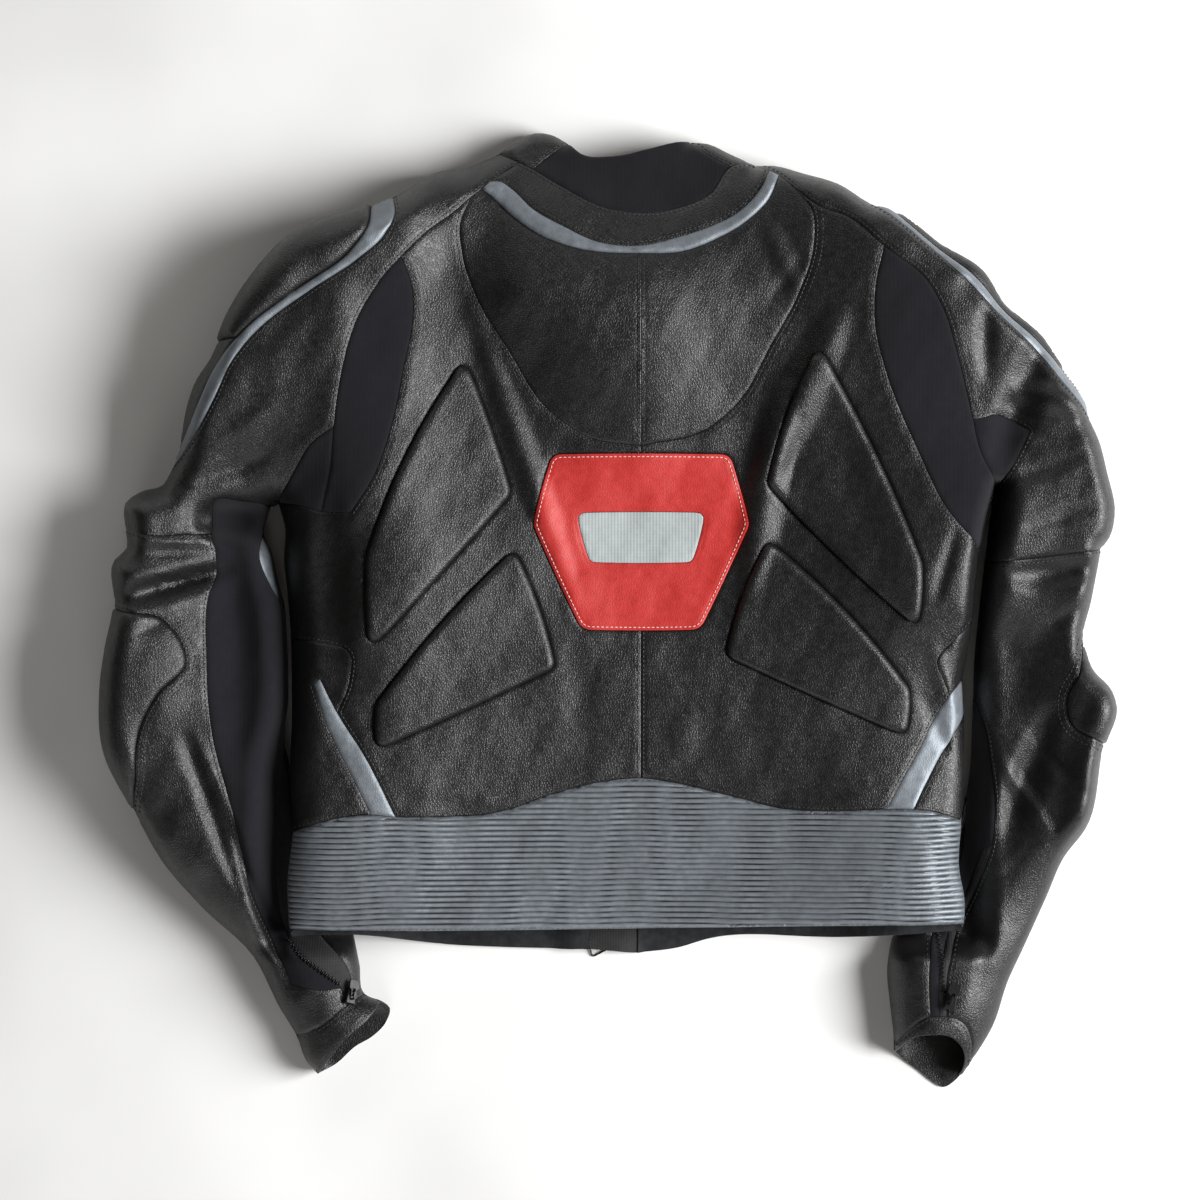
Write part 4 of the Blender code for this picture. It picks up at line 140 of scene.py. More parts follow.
# Seams and edges, each a smooth curve through its corners and the points between them
SEAMS = {
    "raglan_l": ["raglan_top_l", (-101, 562), "stand_end_l", "nape_l", "yoke_top_l", (-137, 531),
        (-155, 517), "leaf_top_l", (-192, 478), (-208, 451), (-219, 416), "gusset_top_l", (-229, 340),
        "gusset_foot_l"],
    "raglan_r": ["raglan_top_r", "stand_end_r", "nape_r", "yoke_top_r", (127, 537), (154, 525),
        "leaf_top_r", (208, 480), (222, 456), (231, 428), "gusset_top_r", (249, 355), "armpit_r"],
    "gusset_l": ["gusset_top_l", (-240, 362), (-260, 332), "armpit_l"],
    "gusset_foot_l": ["armpit_l", (-254, 314), "gusset_foot_l"],
    "leaf_foot_l": ["gusset_foot_l", "leaf_foot_l"],
    "leaf_l": ["leaf_top_l", (-169, 477), (-168, 449), (-174, 418), (-184, 370), (-198, 332),
        "leaf_foot_l"],
    "gusset_top_r": ["gusset_top_r", (264, 380), "gusset_out_r"],
    "gusset_r": ["gusset_out_r", (275, 347), "armpit_r"],
    "leaf_r": ["leaf_top_r", (172, 477), (172, 442), (180, 411), (203, 355), (226, 309), "leaf_foot_r"],
    "body_side_l": ["armpit_l", (-265, 296), (-266, 278), (-263, 244), "flank_top_l", (-260, 170),
        (-260, 111), "waist_l", (-262, 37), "hem_l"],
    "body_side_r": ["armpit_r", (256, 303), "leaf_foot_r", (249, 255), "flank_top_r", (243, 204),
        "stripe_tip_in_r", "stripe_tip_out_r", (240, 118), "waist_r", (236, 46), (240, 22), "hem_r"],
    "flank_l": ["flank_top_l", (-238, 213), (-215, 205), (-215, 185), "stripe_mid_l"],
    "flank_r": ["flank_top_r", (231, 214), (218, 198), (223, 185), "stripe_mid_r"],
    "stripe_in_l": ["stripe_tip_in_l", "stripe_mid_l", (-202, 126), "stripe_foot_in_l"],
    "stripe_out_l": ["stripe_tip_out_l", (-232, 152), (-215, 118), "stripe_foot_out_l"],
    "stripe_tip_l": ["stripe_tip_in_l", "stripe_tip_out_l"],
    "stripe_in_r": ["stripe_tip_in_r", "stripe_mid_r", (205, 132), "stripe_foot_in_r"],
    "stripe_out_r": ["stripe_tip_out_r", (221, 128), "stripe_foot_out_r"],
    "yoke_l": ["yoke_top_l", (-133, 522), (-132, 500), (-118, 460), (-98, 428), (-70, 386), (-38, 364),
        "yoke_foot"],
    "yoke_r": ["yoke_top_r", (126, 531), (127, 507), (115, 468), (94, 429), (75, 394), (46, 369),
        "yoke_foot"],
    "yoke_centre": ["yoke_nape", "yoke_foot"],
    "back_centre": ["yoke_foot", "back_foot"],
    "waist_top": ["waist_l", (-234, 81), "stripe_foot_out_l", "stripe_foot_in_l", (-156, 84), (-102, 88),
        (-67, 100), (-32, 109), "back_foot", (42, 105), (70, 98), (104, 90), (137, 88),
        "stripe_foot_in_r", "stripe_foot_out_r", (221, 87), "waist_r"],
    "nape": ["nape_l", (-110, 542), (-97, 529), (-76, 514), (-53, 505), "yoke_nape", (33, 502), (56, 511),
        (78, 524), (94, 540), "nape_r"],
    "stand_foot": ["stand_end_l", (-104, 554), (-95, 548), (-81, 534), (-59, 521), (-30, 508), (-1, 506),
        (29, 513), (50, 520), (73, 532), (89, 550), "stand_end_r"],
    "stand_top": ["raglan_top_l", "tab_in_l", (-59, 551), (-30, 536), (-1, 531), (29, 535), (51, 545),
        "tab_in_r", (77, 569), "raglan_top_r"],
    "tab_foot_l": ["tab_out_l", "raglan_top_l"],
    "tab_l": ["tab_in_l", (-71, 572), "tab_top_l"],
    "tab_r": ["tab_top_r", (52, 574), "tab_in_r"],
    "collar_edge": ["tab_top_l", (-44, 576), (-22, 574), (7, 580), (27, 585), "tab_top_r"],
    "tab_edge_l": ["tab_out_l", (-92, 587), (-79, 593), (-67, 592), "tab_top_l"],
    "tab_edge_r": ["tab_top_r", (50, 585), (67, 577), "raglan_top_r"],
    "shoulder_edge_l": ["tab_out_l", (-115, 573), (-131, 566), (-155, 562), (-171, 551),
        "strip_top_in_l", "strip_top_out_l", (-219, 531), (-238, 525), (-260, 514), (-280, 494),
        (-295, 474), (-306, 455), "cap_foot_out_l", (-320, 423), (-330, 408), (-338, 385), (-341, 368),
        "strip_end_out_l", "strip_end_in_l", "notch_l", (-371, 325), (-383, 316), "head_foot_l"],
    "forearm_edge_l": ["head_foot_l", (-382, 283), (-391, 274), "elbow_top_l", (-397, 209), (-401, 178),
        (-399, 133), "elbow_foot_l", (-357, 50), (-328, 16), (-289, -22), (-269, -61),
        "cuff_seam_out_l", (-249, -101), "cuff_tip_l"],
    "strip_in_l": ["strip_top_in_l", (-181, 531), (-189, 511), (-208, 494), (-243, 471), (-283, 440),
        (-300, 420), (-314, 391), (-331, 362), "strip_end_in_l"],
    "strip_out_l": ["strip_top_out_l", (-200, 522), (-214, 500), (-250, 474), "cap_foot_in_l", (-312, 419),
        (-325, 392), (-335, 370), "strip_end_out_l"],
    "cap_foot_l": ["cap_foot_out_l", "cap_foot_in_l"],
    "head_foot_l": ["head_foot_l", (-369, 293), (-343, 292), "elbow_in_l"],
    "arm_fold_l": ["sleeve_in_l", (-293, 316), "fold_in_l", "elbow_in_l"],
    "sleeve_side_l": ["sleeve_in_l", "flash_top_l", (-276, 281), (-271, 260), "flash_foot_l", (-264, 215),
        (-263, 170), "zip_top_l", "zip_top_in_l", (-251, 81), (-230, 37), (-215, -5), (-210, -27),
        "cuff_seam_in_l", "edge_in_l"],
    "flash_l": ["flash_top_l", (-282, 277), (-274, 255), "flash_foot_l"],
    "stretch_out_l": ["elbow_in_l", (-313, 274), (-320, 240), (-320, 200), (-316, 144), (-303, 94),
        (-289, 33), (-271, -14), "stretch_foot_l"],
    "stretch_foot_l": ["stretch_foot_l", (-240, -45), "zip_foot_l"],
    "zip_l": ["zip_top_l", (-270, 74), (-269, 22), (-262, -8), (-239, -30), "zip_foot_l", "zip_end_l"],
    "zip_in_l": ["zip_top_in_l", (-258, 74), (-254, 30), (-241, -1), (-218, -27), "zip_end_in_l"],
    "cuff_seam_l": ["cuff_seam_out_l", (-238, -72), "zip_end_l", "zip_end_in_l", "cuff_seam_in_l"],
    "cuff_edge_l": ["cuff_tip_l", (-226, -90), (-217, -80), (-200, -64), "edge_in_l"],
    "cuff_lip_l": ["cuff_tip_l", (-229, -104), (-213, -90), (-201, -83), (-190, -71), (-188, -61),
        "edge_in_l"],
    "elbow_l": ["elbow_top_l", (-376, 235), (-357, 232), (-340, 216), (-335, 198), (-356, 174),
        (-369, 148), (-373, 111), "elbow_foot_l"],
    "shoulder_edge_r": ["raglan_top_r", (99, 568), (121, 562), (147, 554), "strip_top_r",
        "cap_top_r", (199, 525), (221, 507), (252, 487), (268, 463), (294, 441), (314, 414),
        "strip_end_r", "cap_end_r", (340, 363), (346, 340), (352, 307), (348, 290), "head_foot_r"],
    "forearm_edge_r": ["head_foot_r", (335, 244), "elbow_top_r", (334, 194), (349, 176), (352, 165),
        "elbow_foot_r", (331, 74), (315, 52), (303, 24), (286, -14), (274, -40), (263, -73),
        "cuff_out_r", "edge_out_r"],
    "strip_r": ["strip_top_r", (189, 525), (215, 502), (240, 478), (265, 453), (293, 426), (314, 401),
        "cap_end_r"],
    "cap_r": ["cap_top_r", (196, 524), (221, 502), (248, 480), (268, 457), (295, 433), (317, 408),
        "strip_end_r"],
    "head_foot_r": ["head_foot_r", (317, 278), (291, 274), "elbow_in_r"],
    "sleeve_side_r": ["armpit_r", (260, 303), "elbow_in_r", (252, 235), (249, 200), "stretch_top_r",
        "inner_top_r", (236, 70), (218, 33), (198, 11), (188, -9), (184, -30), (186, -56),
        "cuff_in_r", "edge_in_r"],
    "stretch_out_r": ["stretch_top_r", (255, 148), (259, 124), (262, 92), "zip_top_r",
        (249, 30), (236, 0), (227, -30), "zip_end_r"],
    "zip_top_r": ["zip_top_r", "zip_top_in_r"],
    "zip_in_r": ["zip_top_in_r", (243, 30), (230, 0), (221, -30), "zip_end_in_r"],
    "inner_r": ["inner_top_r", (241, 72), (228, 22), (216, -7), (213, -33), "inner_foot_r"],
    "cuff_seam_r": ["cuff_in_r", (198, -75), "inner_foot_r", "zip_end_in_r", "zip_end_r", (240, -70),
        (246, -83), "cuff_out_r"],
    "cuff_edge_r": ["edge_in_r", (200, -81), (214, -78), (228, -79), (238, -87), (242, -98),
        "edge_out_r"],
    "cuff_lip_r": ["edge_in_r", (198, -101), (209, -109), (219, -117), "cuff_tip_r", (235, -116),
        "edge_out_r"],
    "elbow_r": ["elbow_top_r", (323, 191), (314, 174), (316, 154), "elbow_foot_r"],
    "front_raglan_l": ["raglan_top_l", (-127, 496), (-201, 392), "armpit_l"],
    "front_raglan_r": ["raglan_top_r", (140, 488), (206, 400), "armpit_r"],
    "front_neck_l": ["raglan_top_l", (-67, 548), "closure_top_l"],
    "front_neck_r": ["closure_top_r", (44, 549), "raglan_top_r"],
    "closure_l": ["closure_collar_l", "closure_top_l", "closure_hem_l", "closure_foot_l"],
    "closure_r": ["closure_collar_r", "closure_top_r", "closure_hem_r", "closure_foot_r"],
    "front_hem_l": ["hem_l", (-161, -1), "closure_hem_l"],
    "front_hem_r": ["closure_hem_r", (155, 1), "hem_r"],
    "front_edge_l": ["front_foot_l", (-211, -5), (-154, -13), (-97, -16), "closure_foot_l"],
    "front_edge_r": ["closure_foot_r", (29, -16), (49, -10), (149, -8), "front_foot_r"],
    "front_corner_l": ["hem_l", "front_foot_l"],
    "front_corner_r": ["hem_r", "front_foot_r"],
    "closure_foot": ["closure_foot_l", "closure_foot_r"],
    "closure_collar": ["closure_collar_l", "closure_collar_r"],
    "front_collar_edge_l": ["tab_top_l", "closure_collar_l"],
    "front_collar_edge_r": ["closure_collar_r", (18, 577), "tab_top_r"],
    "armpit_l": ["armpit_l", (-273, 314), "sleeve_in_l"],
    "hem": ["hem_l", (-161, -1), "hem_mid", (155, 3), "hem_r"],
}

# Rolled edges of each tube: the radius of the roll, in mm
ROLL = {
    "tab_edge_l": 20, "tab_edge_r": 20, "shoulder_edge_l": 42, "shoulder_edge_r": 42,
    "forearm_edge_l": 38, "forearm_edge_r": 38, "sleeve_side_l": 34, "sleeve_side_r": 34,
    "body_side_l": 34, "body_side_r": 34, "armpit_l": 34,
}

# The sides of each tube: every tuple is one side
TUBES = {
    "body": (
        ("body_side_l", "armpit_l"), ("body_side_r",),
        ("tab_edge_l", "shoulder_edge_l"), ("tab_edge_r", "shoulder_edge_r"),
    ),
    "left": (("tab_edge_l", "shoulder_edge_l", "forearm_edge_l"), ("sleeve_side_l", "armpit_l")),
    "right": (("tab_edge_r", "shoulder_edge_r", "forearm_edge_r"), ("sleeve_side_r",)),
}
CROWN_REACH = 60.0
# How much tighter the sides roll over than in the solids, above the cuffs
ROLL_TIGHTER = {"shoulder_edge_r": 0.6, "forearm_edge_r": 0.6, "body_side_r": 0.62, "body_side_l": 0.3}
ROLL_TIGHT = 0.42  # the same for every other side
ROLL_TIGHT_FROM = (20, 90)  # y below which a side rolls as the solid's does, and above which it is tight
CROWN_SLACK = 0.02  # how far the sheet may stay off its posts

# Height of the jacket's crown: x, y, height, in mm
CROWNS = [
    (0, 577, 34), (-75, 577, 32), (58, 573, 34), (0, 518, 54), (-75, 544, 50), (73, 548, 50),
    (8, 478, 70), (8, 415, 68), (4, 360, 55), (-134, 492, 58), (-92, 468, 70), (-118, 445, 55),
    (-98, 402, 51),
    (114, 508, 63), (108, 464, 60), (88, 436, 58), (66, 398, 54),
    (-172, 512, 75), (-262, 460, 81), (162, 500, 75), (236, 450, 80),
    (-295, 385, 76), (334, 375, 77), (262, 372, 66), (-200, 407, 74), (199, 414, 74), (-212, 326, 73),
    (-254, 326, 56), (242, 333, 75),
    (-149, 318, 60), (155, 333, 58), (0, 296, 44), (0, 178, 42), (-141, 192, 54), (140, 207, 53),
    (-210, 229, 68), (-250, 229, 50), (236, 237, 71), (-223, 59, 62), (-119, 59, 46), (0, 52, 38),
    (118, 59, 45),
    (206, 59, 60), (0, 0, 32), (-358, 274, 70), (-356, 185, 70), (-300, 230, 48), (-340, 111, 60),
    (-300, 22, 52), (344, 274, 74), (330, 185, 70), (268, 215, 48),
    (322, 104, 64), (268, 95, 44), (312, 34, 58), (262, 22, 44),
    (-213, -49, 41), (-232, -84, 39), (-262, -44, 43), (-200, -80, 38), (-190, -45, 41),
    (229, -51, 48), (214, -89, 47), (245, -22, 50), (225, -115, 47), (262, -70, 48),
]

# The large folds, troughs with a positive depth and ridges with a negative one:
# tube, start x, start y, end x, end y, half width, depth, in mm
FOLDS = [
    ("left", -262, 302, -330, 304, 24, 26),
    ("left", -395, 240, -300, 268, 14, 10),
    ("left", -302, 300, -296, 110, 24, 10),
    ("left", -340, 150, -255, -50, 14, 8),
    ("right", 262, 262, 345, 268, 18, 9),
    ("all", 296, 440, 262, 340, 22, 9),
    ("right", 268, 400, 338, 382, 16, -7),
    ("right", 306, 170, 264, 50, 18, 9),
    ("body", -126, 462, -46, 236, 15, -4.5),
    ("body", 150, 462, 82, 322, 22, -8),
    ("body", 106, 410, 78, 244, 20, -7),
    ("body", -230, 330, -222, 170, 22, 4.5),
]

# Foam-backed pads of the back, corner by corner: x, y, corner radius, bulge of the side that follows
PADS = {
    "pad_upper_left": [(-131, 428, 9, 1), (-95, 323, 13, 0.5), (-202, 203, 9, 0.5), (-203, 277, 26, 5)],
    "pad_lower_left": [(-93, 285, 9, 2), (-62, 194, 10, 0.5), (-197, 132, 9, 0.5), (-196, 168, 12, 3)],
    "pad_upper_right": [(130, 437, 9, 3), (207, 272, 30, 0.5), (205, 220, 8, 2), (92, 330, 10, 3)],
    "pad_lower_right": [(93, 292, 9, 4), (199, 179, 16, 0.5), (197, 142, 9, 0.5), (61, 203, 10, 2)],
}
PLATE = [(-66, 352, 10, 0.5), (66, 352, 10, 0.5), (80, 300, 12, 0.5), (44, 222, 12, 0.5),
         (-44, 222, 12, 0.5), (-80, 300, 12, 0.5)]
PLATE_BAR = [(-48, 309, 6, 0.5), (48, 309, 6, 0.5), (38, 272, 6, 0.5), (-38, 272, 6, 0.5)]

# Every panel: sheet, tube, finish, and its border as corners with the seam that runs from each to the next
PANELS = {
    "yoke_left": ("upper", "body", "black_leather",
        "nape_l nape yoke_nape yoke_centre yoke_foot yoke_l yoke_top_l raglan_l"),
    "yoke_right": ("upper", "body", "black_leather",
        "nape_r nape yoke_nape yoke_centre yoke_foot yoke_r yoke_top_r raglan_r"),
    "back_left": ("upper", "body", "black_leather",
        "yoke_foot yoke_l yoke_top_l raglan_l leaf_top_l leaf_l leaf_foot_l leaf_foot_l gusset_foot_l "
        "gusset_foot_l armpit_l body_side_l flank_top_l flank_l stripe_mid_l stripe_in_l stripe_foot_in_l "
        "waist_top back_foot back_centre"),
    "back_right": ("upper", "body", "black_leather",
        "yoke_foot yoke_r yoke_top_r raglan_r leaf_top_r leaf_r leaf_foot_r body_side_r flank_top_r "
        "flank_r stripe_mid_r stripe_in_r stripe_foot_in_r waist_top back_foot back_centre"),
    "leaf_left": ("upper", "body", "stretch_fabric",
        "leaf_top_l raglan_l gusset_foot_l leaf_foot_l leaf_foot_l leaf_l"),
    "leaf_right": ("upper", "body", "stretch_fabric",
        "leaf_top_r raglan_r armpit_r body_side_r leaf_foot_r leaf_r"),
    "gusset_left": ("upper", "body", "stretch_fabric",
        "gusset_foot_l raglan_l gusset_top_l gusset_l armpit_l gusset_foot_l"),
    "gusset_right": ("upper", "body", "stretch_fabric",
        "armpit_r raglan_r gusset_top_r gusset_top_r gusset_out_r gusset_r"),
    "side_left": ("upper", "body", "black_leather",
        "flank_top_l body_side_l waist_l waist_top stripe_foot_out_l stripe_out_l stripe_tip_out_l "
        "stripe_tip_l stripe_tip_in_l stripe_in_l stripe_mid_l flank_l"),
    "flank_right": ("upper", "body", "black_leather",
        "flank_top_r body_side_r stripe_tip_in_r stripe_in_r stripe_mid_r flank_r"),
    "side_right": ("upper", "body", "black_leather",
        "stripe_tip_out_r body_side_r waist_r waist_top stripe_foot_out_r stripe_out_r"),
    "stripe_left": ("upper", "body", "silver_leather",
        "stripe_tip_in_l stripe_in_l stripe_foot_in_l waist_top stripe_foot_out_l stripe_out_l "
        "stripe_tip_out_l stripe_tip_l"),
    "stripe_right": ("upper", "body", "silver_leather",
        "stripe_tip_in_r stripe_in_r stripe_foot_in_r waist_top stripe_foot_out_r stripe_out_r "
        "stripe_tip_out_r body_side_r"),
    "waistband": ("upper", "body", "silver_leather",
        "waist_l waist_top waist_r body_side_r hem_r hem hem_l body_side_l"),
    "collar_stand": ("upper", "body", "black_leather",
        "raglan_top_l stand_top raglan_top_r raglan_r stand_end_r stand_foot stand_end_l raglan_l"),
    "collar_roll": ("upper", "body", "silver_leather",
        "stand_end_l stand_foot stand_end_r raglan_r nape_r nape nape_l raglan_l"),
    "collar_stretch": ("upper", "body", "stretch_fabric",
        "tab_in_l stand_top tab_in_r tab_r tab_top_r collar_edge tab_top_l tab_l"),
    "collar_tab_left": ("upper", "body", "black_leather",
        "tab_out_l tab_edge_l tab_top_l tab_l tab_in_l stand_top raglan_top_l tab_foot_l"),
    "collar_tab_right": ("upper", "body", "black_leather",
        "tab_top_r tab_edge_r raglan_top_r stand_top tab_in_r tab_r"),
    "sleeve_head_left": ("upper", "left", "black_leather",
        "tab_out_l tab_foot_l raglan_top_l raglan_l gusset_top_l gusset_l armpit_l armpit_l sleeve_in_l "
        "arm_fold_l elbow_in_l head_foot_l head_foot_l shoulder_edge_l strip_end_in_l strip_in_l "
        "strip_top_in_l shoulder_edge_l"),
    "shoulder_strip_left": ("upper", "left", "silver_leather",
        "strip_top_in_l strip_in_l strip_end_in_l shoulder_edge_l strip_end_out_l strip_out_l "
        "strip_top_out_l shoulder_edge_l"),
    "shoulder_cap_left": ("upper", "left", "black_leather",
        "strip_top_out_l strip_out_l cap_foot_in_l cap_foot_l cap_foot_out_l shoulder_edge_l"),
    "arm_side_left": ("upper", "left", "black_leather",
        "cap_foot_in_l strip_out_l strip_end_out_l shoulder_edge_l cap_foot_out_l cap_foot_l"),
    "forearm_left": ("upper", "left", "black_leather",
        "head_foot_l head_foot_l elbow_in_l stretch_out_l stretch_foot_l stretch_foot_l zip_foot_l zip_l "
        "zip_end_l cuff_seam_l cuff_seam_out_l forearm_edge_l elbow_foot_l elbow_l elbow_top_l "
        "forearm_edge_l"),
    "elbow_left": ("upper", "left", "black_leather",
        "elbow_top_l elbow_l elbow_foot_l forearm_edge_l"),
    "sleeve_stretch_left": ("upper", "left", "stretch_fabric",
        "sleeve_in_l arm_fold_l elbow_in_l stretch_out_l stretch_foot_l stretch_foot_l zip_foot_l zip_l "
        "zip_top_l sleeve_side_l flash_foot_l flash_l flash_top_l sleeve_side_l"),
    "sleeve_flash_left": ("upper", "left", "silver_leather",
        "flash_top_l flash_l flash_foot_l sleeve_side_l"),
    "cuff_zip_tape_left": ("upper", "left", "zip_tape",
        "zip_top_l zip_l zip_end_l cuff_seam_l zip_end_in_l zip_in_l zip_top_in_l sleeve_side_l"),
    "sleeve_inner_left": ("upper", "left", "black_leather",
        "zip_top_in_l zip_in_l zip_end_in_l cuff_seam_l cuff_seam_in_l sleeve_side_l"),
    "cuff_left": ("upper", "left", "black_leather",
        "cuff_seam_out_l cuff_seam_l cuff_seam_in_l sleeve_side_l edge_in_l cuff_edge_l cuff_tip_l "
        "forearm_edge_l"),
    "sleeve_head_right": ("upper", "right", "black_leather",
        "raglan_top_r raglan_r gusset_top_r gusset_top_r gusset_out_r gusset_r armpit_r sleeve_side_r "
        "elbow_in_r head_foot_r head_foot_r shoulder_edge_r cap_end_r strip_r strip_top_r shoulder_edge_r"),
    "shoulder_strip_right": ("upper", "right", "silver_leather",
        "strip_top_r strip_r cap_end_r shoulder_edge_r strip_end_r cap_r cap_top_r shoulder_edge_r"),
    "shoulder_cap_right": ("upper", "right", "black_leather",
        "cap_top_r cap_r strip_end_r shoulder_edge_r"),
    "forearm_right": ("upper", "right", "black_leather",
        "elbow_in_r sleeve_side_r stretch_top_r stretch_out_r zip_end_r cuff_seam_r cuff_out_r "
        "forearm_edge_r elbow_foot_r elbow_r elbow_top_r forearm_edge_r head_foot_r head_foot_r"),
    "elbow_right": ("upper", "right", "black_leather",
        "elbow_top_r elbow_r elbow_foot_r forearm_edge_r"),
    "sleeve_stretch_right": ("upper", "right", "stretch_fabric",
        "stretch_top_r sleeve_side_r inner_top_r inner_r inner_foot_r cuff_seam_r zip_end_in_r zip_in_r "
        "zip_top_in_r zip_top_r zip_top_r stretch_out_r"),
    "cuff_zip_tape_right": ("upper", "right", "zip_tape",
        "zip_top_in_r zip_in_r zip_end_in_r cuff_seam_r zip_end_r stretch_out_r zip_top_r zip_top_r"),
    "sleeve_inner_right": ("upper", "right", "black_leather",
        "inner_top_r inner_r inner_foot_r cuff_seam_r cuff_in_r sleeve_side_r"),
    "cuff_right": ("upper", "right", "black_leather",
        "cuff_in_r cuff_seam_r cuff_out_r forearm_edge_r edge_out_r cuff_edge_r edge_in_r sleeve_side_r"),
    "front_left": ("under", "body", "black_leather",
        "armpit_l front_raglan_l raglan_top_l front_neck_l closure_top_l closure_l closure_hem_l "
        "front_hem_l hem_l body_side_l"),
    "front_right": ("under", "body", "black_leather",
        "armpit_r front_raglan_r raglan_top_r front_neck_r closure_top_r closure_r closure_hem_r "
        "front_hem_r hem_r body_side_r"),
    "front_hem_left": ("under", "body", "hem_pile",
        "hem_l front_hem_l closure_hem_l closure_l closure_foot_l front_edge_l front_foot_l "
        "front_corner_l"),
    "front_hem_right": ("under", "body", "hem_pile",
        "hem_r front_hem_r closure_hem_r closure_r closure_foot_r front_edge_r front_foot_r "
        "front_corner_r"),
    "front_zip_tape": ("under", "body", "zip_tape",
        "closure_collar_l closure_l closure_foot_l closure_foot closure_foot_r closure_r closure_collar_r "
        "closure_collar"),
    "collar_front_left": ("under", "body", "black_leather",
        "tab_out_l tab_edge_l tab_top_l front_collar_edge_l closure_collar_l closure_l closure_top_l "
        "front_neck_l raglan_top_l tab_foot_l"),
    "collar_front_right": ("under", "body", "black_leather",
        "closure_collar_r front_collar_edge_r tab_top_r tab_edge_r raglan_top_r front_neck_r "
        "closure_top_r closure_r"),
    "under_sleeve_left": ("under", "left", "black_leather",
        "tab_out_l tab_foot_l raglan_top_l front_raglan_l armpit_l armpit_l sleeve_in_l sleeve_side_l "
        "edge_in_l cuff_lip_l cuff_tip_l forearm_edge_l head_foot_l shoulder_edge_l"),
    "under_sleeve_right": ("under", "right", "black_leather",
        "raglan_top_r front_raglan_r armpit_r sleeve_side_r edge_in_r cuff_lip_r edge_out_r "
        "forearm_edge_r head_foot_r shoulder_edge_r"),
}
OUTLINES = set(ROLL)

TAPE_LIFT = (6.4, -32.0, -9.0, 36.0)  # height, centre x, centre y, reach of the tape's rise over the slider

# The smaller creases, in the same columns as the folds
CREASES = [
    ("left", -368, 278, -312, 281, 8, 3.5), ("left", -372, 250, -306, 268, 8, 3.5),
    ("left", -392, 262, -330, 266, 7, -2.0), ("left", -314, 92, -262, -58, 7, -3.4),
    ("left", -330, 150, -292, 30, 11, -4.0), ("left", -300, 60, -262, -30, 8, 2.5),
    ("left", -385, 215, -330, 236, 8, 1.6), ("left", -372, 120, -342, 60, 12, 2.0),
    ("left", -262, -46, -232, -84, 8, -1.6), ("left", -395, 292, -330, 286, 7, -2.0),
    ("all", -330, 330, -270, 352, 9, 2.4), ("all", -318, 352, -262, 392, 12, -2.0),
    ("all", -300, 420, -236, 470, 16, 2.2), ("all", -268, 500, -210, 540, 12, -1.6),
    ("right", 264, 130, 304, 68, 9, -4.0), ("right", 346, 190, 308, 36, 16, -4.0),
    ("right", 322, 60, 268, -44, 12, -3.5), ("right", 288, 150, 330, 96, 10, 2.4),
    ("right", 268, 330, 330, 352, 10, 2.6), ("right", 282, 296, 344, 318, 9, 2.2),
    ("right", 300, 226, 344, 246, 9, 2.6), ("right", 262, 20, 246, -60, 8, 2.0),
    ("all", 252, 462, 254, 404, 11, 4.0), ("all", 226, 470, 300, 500, 14, 2.0),
    ("all", 286, 424, 330, 440, 9, 1.8), ("all", 238, 380, 300, 356, 10, -2.0),
    ("body", 92, 524, 116, 470, 12, -2.4),
    ("body", 214, 214, 238, 150, 12, -3.0), ("body", 206, 180, 232, 120, 10, 2.0),
    ("body", 232, 300, 214, 236, 8, 2.4), ("body", -236, 190, -206, 130, 10, 2.0),
    ("body", -52, 214, -40, 128, 20, 1.4), ("body", 44, 210, 30, 120, 22, -1.4),
    ("body", -180, 96, -96, 84, 14, 1.2), ("body", 64, 92, 168, 104, 15, 1.2),
    ("body", 0, 512, 0, 352, 3.4, -1.1), ("body", 120, 500, 92, 458, 9, 1.6),
]

# The cuff zips, from the end to the slider, and their teeth, in mm
ZIP_LINES = {
    "left": [(-262, -8), (-252, -19), (-238, -30), (-223, -41)],
    "right": [(221, 0), (223, -28), (224, -48)],
}
TOOTH_PITCH = 1.6
TOOTH_SIZE = (1.0, 2.6, 1.2)

# The stage, in metres
FLOOR_DROP = -0.0003
PHOTO_CENTRE = (-0.0055, 0.0081)
PHOTO_WIDTH = 0.888
PHOTO_PLANE = 0.045  # height at which the photograph's width was measured
CAMERA_HEIGHT = 3.5
ROOM_LIGHT = 0.07
LIGHTS = [
    ("window", (2.1, -0.1, 1.5), 1.5, 1.0), ("low_wall", (-0.6, -2.6, 0.8), 2.2, 0.2),
    ("high_wall", (-0.8, 2.5, 0.8), 2.0, 0.13),
]  # name, place, size and share of the power

